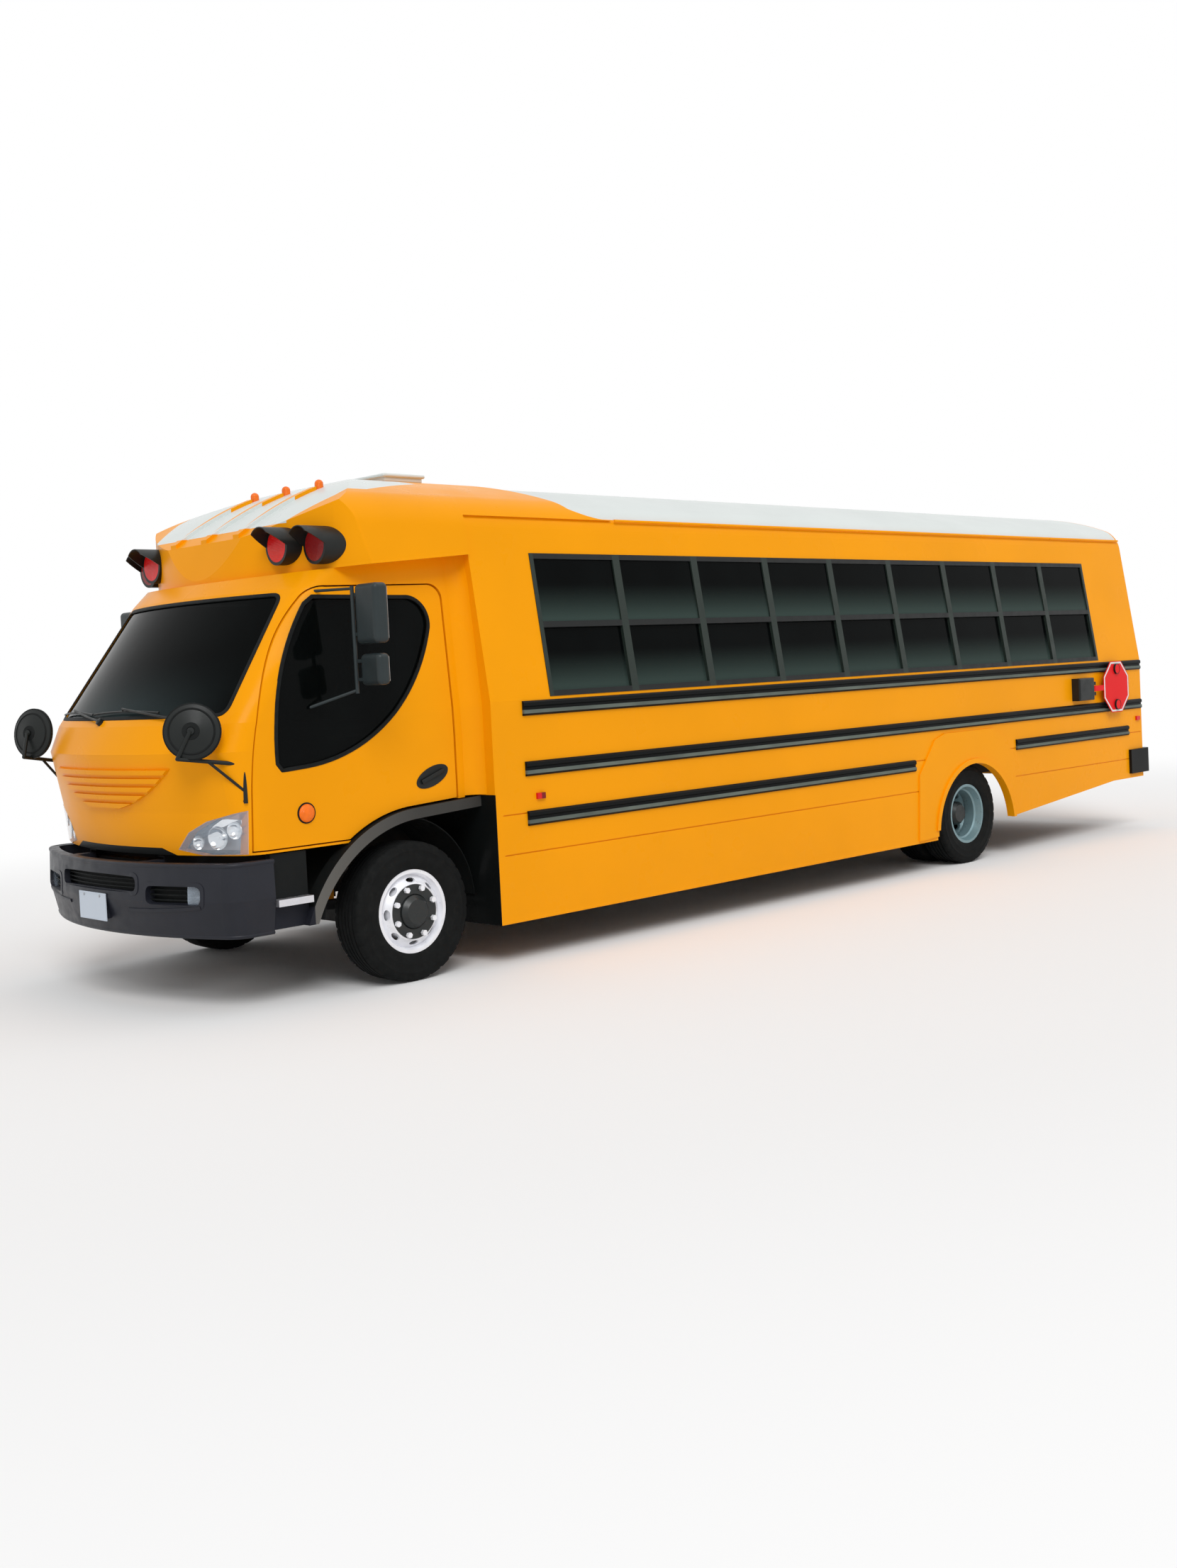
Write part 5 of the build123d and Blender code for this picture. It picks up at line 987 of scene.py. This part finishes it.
# ---- mirrors
CROSSVIEW_AT = (0.927, -1.244, 1.499)
CROSSVIEW_TURNS = ((LEFT, 50), (RIGHT, 20))  # degrees that each one looks away to the bus's right
CROSSVIEW_DROP = 0.12  # how steeply they look down
CROSSVIEW_DOME = ((0.012, 0.147), (0.0355, 0.108), (0.0512, 0.056), (0.056, 0.004))
CROSSVIEW_RINGS = (  # segments, section: the rim and two rings on the back
    (48, ((-0.004, 0.1502), (0.01, 0.1502), (0.013, 0.147), (0.006, 0.144), (-0.008, 0.144))),
    (32, ((-0.034, 0.02), (-0.0345, 0.046), (-0.0372, 0.043), (-0.038, 0.022))),
    (40, ((-0.0158, 0.124), (-0.0205, 0.119), (-0.019, 0.113), (-0.015, 0.114))),
)
# across from, across to, low, high, face behind the axle
MIRROR_PANES = ((1.235, 1.385, 1.94, 2.215, -0.291), (1.242, 1.382, 1.71, 1.842, -0.297))


def make_mirror_faces():
    """Glass in the door mirrors and on the round mirrors' domes, with the domes' rims and back rings."""
    for side, out in SIDES:
        bm = bmesh.new()
        for x0, x1, z0, z1, y in MIRROR_PANES:
            slab(bm, at(out * (x0 + x1) / 2, y, (z0 + z1) / 2), (x1 - x0, 0.003, z1 - z0), 0.0012)
        piece(f"mirror_face_{side}", bm, MIRROR, f"cab_door_{side}")
    domes = bmesh.new()
    rims = bmesh.new()
    for out, degrees in CROSSVIEW_TURNS:
        centre = at(out * CROSSVIEW_AT[0], *CROSSVIEW_AT[1:])
        turn = radians(degrees)
        aim = Vector((-sin(turn), cos(turn), -CROSSVIEW_DROP)).normalized()
        disc(domes, CROSSVIEW_DOME, centre, aim)
        for segments, section in CROSSVIEW_RINGS:
            lathe(rims, section, centre, aim, segments)
    piece("crossview_domes", domes, MIRROR, "chassis")
    piece("crossview_rims", rims, SEAL)


make_mirror_faces()


# ---- body details
DRIP_RAIL_X, DRIP_RAIL_Z = 1.0505, 2.66
DRIP_RAIL_STEPS = (1.8, 4.0, 6.0, 8.43)  # behind the axle


def make_gutter():
    """Drip rail where the white roof meets the yellow sides."""
    bm = bmesh.new()
    for out in (LEFT, RIGHT):
        points = [at(out * DRIP_RAIL_X, behind, DRIP_RAIL_Z) for behind in DRIP_RAIL_STEPS]
        normals = [Vector((out, 0, 0.2)).normalized()] * len(points)
        strip(bm, points, normals, 0.008, 0.009, ring=False)
    piece("drip_rails", bm, PAINT, "chassis")


def rectangle(x0, x1, z0, z1, grow=0.0):
    return ((x0 - grow, z0 - grow), (x1 + grow, z0 - grow), (x1 + grow, z1 + grow), (x0 - grow, z1 + grow))


# across from, across to, low, high
INTAKES = ((-0.42, 0.42, 0.64, 0.732), (0.49, 0.872, 0.578, 0.688), (-0.872, -0.49, 0.578, 0.688))
SLAT_DEPTH, SLAT_R = -0.034, 0.005
BACK_MARGIN, BACK_LIFTS = 0.01, (-0.052, -0.056)
LIPS = ((0.789, 0.0145, -0.0105), (0.41, 0.012, -0.0085))  # height, radius, sunk into the skin
LIP_STEPS = 40
RIDGE_FROM, RIDGE_STEP, RIDGE_POINTS = 0.34, 0.04, 14
RIDGE_Z, RIDGE_RISE = 0.546, 0.1


def make_bumper_trim():
    """Rounded surrounds, lips and ridges that soften the front bumper."""
    bm = bmesh.new()
    for box in INTAKES:
        inner = rounded(rectangle(*box, -0.006), 0.04, 8)
        outer = rounded(rectangle(*box, 0.016), 0.05, 8)
        edges = ((outer, -0.002), (outer, 0.003), (inner, 0.003), (inner, -0.03))
        loft(bm, [[on_bumper(x, z, lift)[0] for x, z in edge] for edge, lift in edges], ring=True)
    for z, radius, sunk in LIPS:
        half = level_at(BUMPER_LEVELS, z)[1]
        turns = [pi / 2 * k / LIP_STEPS for k in range(-LIP_STEPS, LIP_STEPS + 1)]
        front = [on_bumper(half * sin(turn), z, sunk)[0] for turn in turns]
        ends = [at(out * (half + sunk), BUMPER_END, z) for out in (RIGHT, LEFT)]
        tube(bm, [ends[0], *front, ends[1]], radius, 12)
    for out in (LEFT, RIGHT):
        steps = [RIDGE_STEP * i for i in range(RIDGE_POINTS)]
        ridge = [on_bumper(out * (RIDGE_FROM + step), RIDGE_Z + RIDGE_RISE * step ** 2) for step in steps]
        points, normals = zip(*ridge)
        strip(bm, points, normals, 0.011, 0.007, ring=False)
    piece("bumper_trim", bm, BUMPER, "chassis")


def make_intake_slats():
    """Three bars across each intake, before a dark plate."""
    bm = bmesh.new()
    for x0, x1, z0, z1 in INTAKES:
        for k in (1, 2, 3):
            z = z0 + (z1 - z0) * k / 4
            tube(bm, [on_bumper(x0 + (x1 - x0) * t / 8, z, SLAT_DEPTH)[0] for t in range(9)], SLAT_R, 8)
        start, wide = x0 - BACK_MARGIN, x1 - x0 + 2 * BACK_MARGIN
        spans = [(start + wide * t / 8, z0 - BACK_MARGIN, z1 + BACK_MARGIN) for t in range(9)]
        curved_plate(bm, on_bumper, spans, *BACK_LIFTS)
    piece("intake_slats", bm, SEAL)


HATCH_FRONT, HATCH_REAR, HATCH_HALF = 0.6, 0.9, 0.24  # ends behind the axle, half width
HATCH_FOOT, HATCH_TOP = 2.955, 3.006
LID_THICK, LID_OVERHANG = 0.024, 0.015
CURB_TOP = HATCH_TOP - 0.018
LATCH = (0.16, 0.03, 0.014)


def make_roof_hatch():
    """Low escape hatch in the roof, just behind the cap's crest: a curb, a lid and its latch."""
    bm = bmesh.new()
    middle, long = (HATCH_FRONT + HATCH_REAR) / 2, HATCH_REAR - HATCH_FRONT
    slab(bm, at(0, middle, (HATCH_FOOT + CURB_TOP) / 2), (2 * HATCH_HALF, long, CURB_TOP - HATCH_FOOT), 0.008)
    lid = (2 * (HATCH_HALF + LID_OVERHANG), long + 2 * LID_OVERHANG, LID_THICK)
    slab(bm, at(0, middle, HATCH_TOP - LID_THICK / 2), lid, 0.011)
    slab(bm, at(0, HATCH_REAR + 0.012, HATCH_TOP - 0.02), LATCH, 0.004)
    piece("roof_hatch", bm, ROOF, "chassis")


make_gutter()
make_bumper_trim()
make_intake_slats()
make_roof_hatch()


# ---- rear wall, entry leaves and sign
REAR_FACE = 8.49
REAR_PANES = ((0.56, 0.985, 1.58, 2.33), (-0.985, -0.56, 1.58, 2.33))
EXIT_PANE = (-0.33, 0.33, 1.48, 2.29)
# distance from the middle, height, radius
TAIL_LAMPS = ((1.0, 1.38, 0.088), (1.0, 1.15, 0.07), (0.17, 2.75, 0.026))
LAMP_RING = ((-0.001, 0.001), (-0.001, 0.014), (0.02, 0.011), (0.031, 0.005), (0.031, 0.001))
EXIT_HANDLE_AT = (0.385, 1.12)
EXIT_HANDLE_BAR = ((0, 0.004, 0), (0, 0.038, 0), (-0.02, 0.048, -0.002), (-0.15, 0.048, -0.016))
EXIT_HINGE_X, EXIT_HINGES_Z = -0.42, (1.08, 1.6, 2.14)


def flat_loop(bm, box, place, normal, half, lift, corner):
    """A raised seal round a rounded rectangle on a flat face."""
    outline = rounded(rectangle(*box), corner)
    strip(bm, [place(u, v) for u, v in outline], [Vector(normal)] * len(outline), half, lift)


def on_rear(x, z, proud=0.0):
    return at(x, REAR_FACE + proud, z)


def make_rear_seals():
    """Seals of the rear wall's windows and bezels round its lamps."""
    bm = bmesh.new()
    for box in REAR_PANES:
        flat_loop(bm, box, on_rear, (0, 1, 0), 0.016, 0.006, 0.03)
    for x, z, radius in TAIL_LAMPS:
        section = [(along, radius + wider) for along, wider in LAMP_RING]
        for out in (LEFT, RIGHT):
            lathe(bm, section, on_rear(out * x, z), (0, 1, 0), 40)
    piece("rear_seals", bm, SEAL)


def make_exit_fittings():
    """The emergency door's window seal, handle and hinges."""
    bm = bmesh.new()
    flat_loop(bm, EXIT_PANE, on_rear, (0, 1, 0), 0.016, 0.006, 0.05)
    piece("exit_window_seal", bm, SEAL, "emergency_door")
    bm = bmesh.new()
    slab(bm, on_rear(*EXIT_HANDLE_AT, 0.005), (0.06, 0.012, 0.15), 0.004)
    tube(bm, [on_rear(*EXIT_HANDLE_AT) + Vector(step) for step in EXIT_HANDLE_BAR], 0.01, 12)
    piece("exit_handle", bm, CHROME, "emergency_door")
    bm = bmesh.new()
    for z in EXIT_HINGES_Z:
        slab(bm, on_rear(EXIT_HINGE_X, z, 0.003), (0.075, 0.007, 0.1), 0.002)
    piece("exit_hinges", bm, PAINT, "emergency_door")


ENTRY_FACE = -1.21
LEAF_LOW, LEAF_HIGH = 0.308, 2.272
LEAF_WIDE, LEAF_RAIL = 0.446, 0.062
LEAVES = (("front", 0.698, LEAF_WIDE - 0.012), ("rear", 1.156, 0.012))  # name, start, meeting edge after it
LEAF_PANES = ((0.43, 1.08), (1.18, 2.19))


def on_leaf(behind, z):
    return at(ENTRY_FACE, behind, z)


def make_entry_seals():
    """Rubber round the panes of the entry leaves and down their meeting edges."""
    outward = Vector((-1, 0, 0))
    for name, start, edge in LEAVES:
        bm = bmesh.new()
        for low, high in LEAF_PANES:
            box = (start + LEAF_RAIL, start + LEAF_WIDE - LEAF_RAIL, low, high)
            flat_loop(bm, box, on_leaf, outward, 0.011, 0.004, 0.02)
        points = [on_leaf(start + edge, LEAF_LOW + (LEAF_HIGH - LEAF_LOW) * t / 4) for t in range(5)]
        strip(bm, points, [outward] * len(points), 0.01, 0.004, ring=False)
        piece(f"entry_seal_{name}", bm, SEAL, f"entry_leaf_{name}")


SIGN_BEHIND, SIGN_Z = 7.905, 1.322
# off the sign's middle plane, from its centre to a side's middle
SIGN_BORDER = ((0.002, 0.206), (0.0034, 0.207), (0.0034, 0.221), (0.002, 0.222))
SIGN_LAMPS_UP = (-0.16, 0.16)
SIGN_BEZEL = ((0.003, 0.047), (0.018, 0.047), (0.02, 0.043), (0.018, 0.0415), (0.003, 0.0415))


def make_stop_sign():
    """A white border on each face of the blank octagon, and bezels round its flashers."""
    centre = at(JOINTS["stop_arm_hinge"]["pos_m"][0], SIGN_BEHIND, SIGN_Z)
    turns = [pi / 8 * (2 * i + 1) for i in range(8)]
    border = bmesh.new()
    bezels = bmesh.new()
    for way in (1, -1):
        sections = []
        for lift, flat in SIGN_BORDER:
            reach = flat / cos(pi / 8)
            sections.append([centre + Vector((way * lift, reach * cos(turn), reach * sin(turn)))
                             for turn in turns])
        loft(border, sections, ring=True)
        for up in SIGN_LAMPS_UP:
            lathe(bezels, SIGN_BEZEL, centre + Vector((0, 0, up)), (way, 0, 0), 28)
    piece("stop_sign_border", border, SIGN_WHITE, "stop_arm", smooth=False)
    piece("stop_lamp_bezels", bezels, PLASTIC, "stop_arm")


PLATE_MARGIN = 0.006
PLATE_BOLT_X, PLATE_BOLT_Z = 0.089, 0.607
BOLT_HEAD = ((0.0, 0.0075), (0.003, 0.0075), (0.0045, 0.005), (0.0046, 0.0005))


def make_plate():
    """Raised edge and two bolts on the blank licence plate."""
    low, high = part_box("licence_plate")
    bm = bmesh.new()
    outline = rounded(rectangle(low.x, high.x, low.z, high.z, -PLATE_MARGIN), 0.012)
    strip(bm, [Vector((x, low.y, z)) for x, z in outline], [Vector((0, -1, 0))] * len(outline), 0.003, 0.0012)
    piece("plate_edge", bm, PLATE, "chassis")
    bm = bmesh.new()
    for x in (-PLATE_BOLT_X, PLATE_BOLT_X):
        disc(bm, BOLT_HEAD, Vector((x, low.y, PLATE_BOLT_Z)), (0, -1, 0), 6)
    piece("plate_bolts", bm, ALLOY, "chassis")


make_rear_seals()
make_exit_fittings()
make_entry_seals()
make_stop_sign()
make_plate()


# ---- stage and light
FLOOR_SIZE = 60
FLOOR_WHITE = (0.92, 0.92, 0.92)
FLOOR_REACH = (4.0, 6.5)  # across and along, the lengths that the fade is measured in
FLOOR_NEAR, FLOOR_FAR = 1.25, 2.3  # where the floor starts to fade, and where it is all backdrop


def make_stage():
    bm = bmesh.new()
    bmesh.ops.create_grid(bm, x_segments=1, y_segments=1, size=FLOOR_SIZE)
    shader = Shader("floor", FLOOR_WHITE, 0.95, specular=0.1)
    scaled = shader.node("ShaderNodeVectorMath", operation="MULTIPLY")
    shader.link(shader.coords, scaled.inputs[0])
    scaled.inputs[1].default_value = (1 / FLOOR_REACH[0], 1 / FLOOR_REACH[1], 0)
    length = shader.node("ShaderNodeVectorMath", operation="LENGTH")
    shader.link(scaled.outputs[0], length.inputs[0])
    fade = shader.ramp(length.outputs["Value"], FLOOR_NEAR, FLOOR_FAR, 0, 1, "SMOOTHSTEP")
    white = shader.node("ShaderNodeEmission")
    shader.backdrop(shader.bsdf.outputs[0], white.outputs[0], "Material Output", fade)
    add("floor", mesh_of("floor", bm, shader))


SKY_LEVEL = 0.5
WHITE = (1, 1, 1, 1)


def make_world():
    """White to the eye, and a level softer than that as a light."""
    bpy.context.scene.world = bpy.data.worlds.new("world")
    sky = Tree(bpy.context.scene.world)
    light = sky.tree.nodes["Background"]
    white = sky.node("ShaderNodeBackground")
    for background, level in ((light, SKY_LEVEL), (white, 1)):
        background.inputs["Color"].default_value = WHITE
        background.inputs["Strength"].default_value = level
    sky.backdrop(light.outputs[0], white.outputs[0], "World Output")


# name, the way it shines from, spread in degrees, level
LAMPS = (("key", (1.0, -0.75, 1.25), 30, 1.45), ("top", (0.25, 0.5, 1.0), 70, 0.5))


def make_lamps():
    """Two broad suns: a key from the front left and a fill from above the rear."""
    for name, source, spread, level in LAMPS:
        data = bpy.data.lights.new(name, "SUN")
        data.angle = radians(spread)
        data.energy = level
        add(name, data).rotation_euler = Vector(source).to_track_quat("Z", "Y").to_euler()


make_stage()
make_world()
make_lamps()
bpy.context.scene.view_settings.view_transform = "Standard"
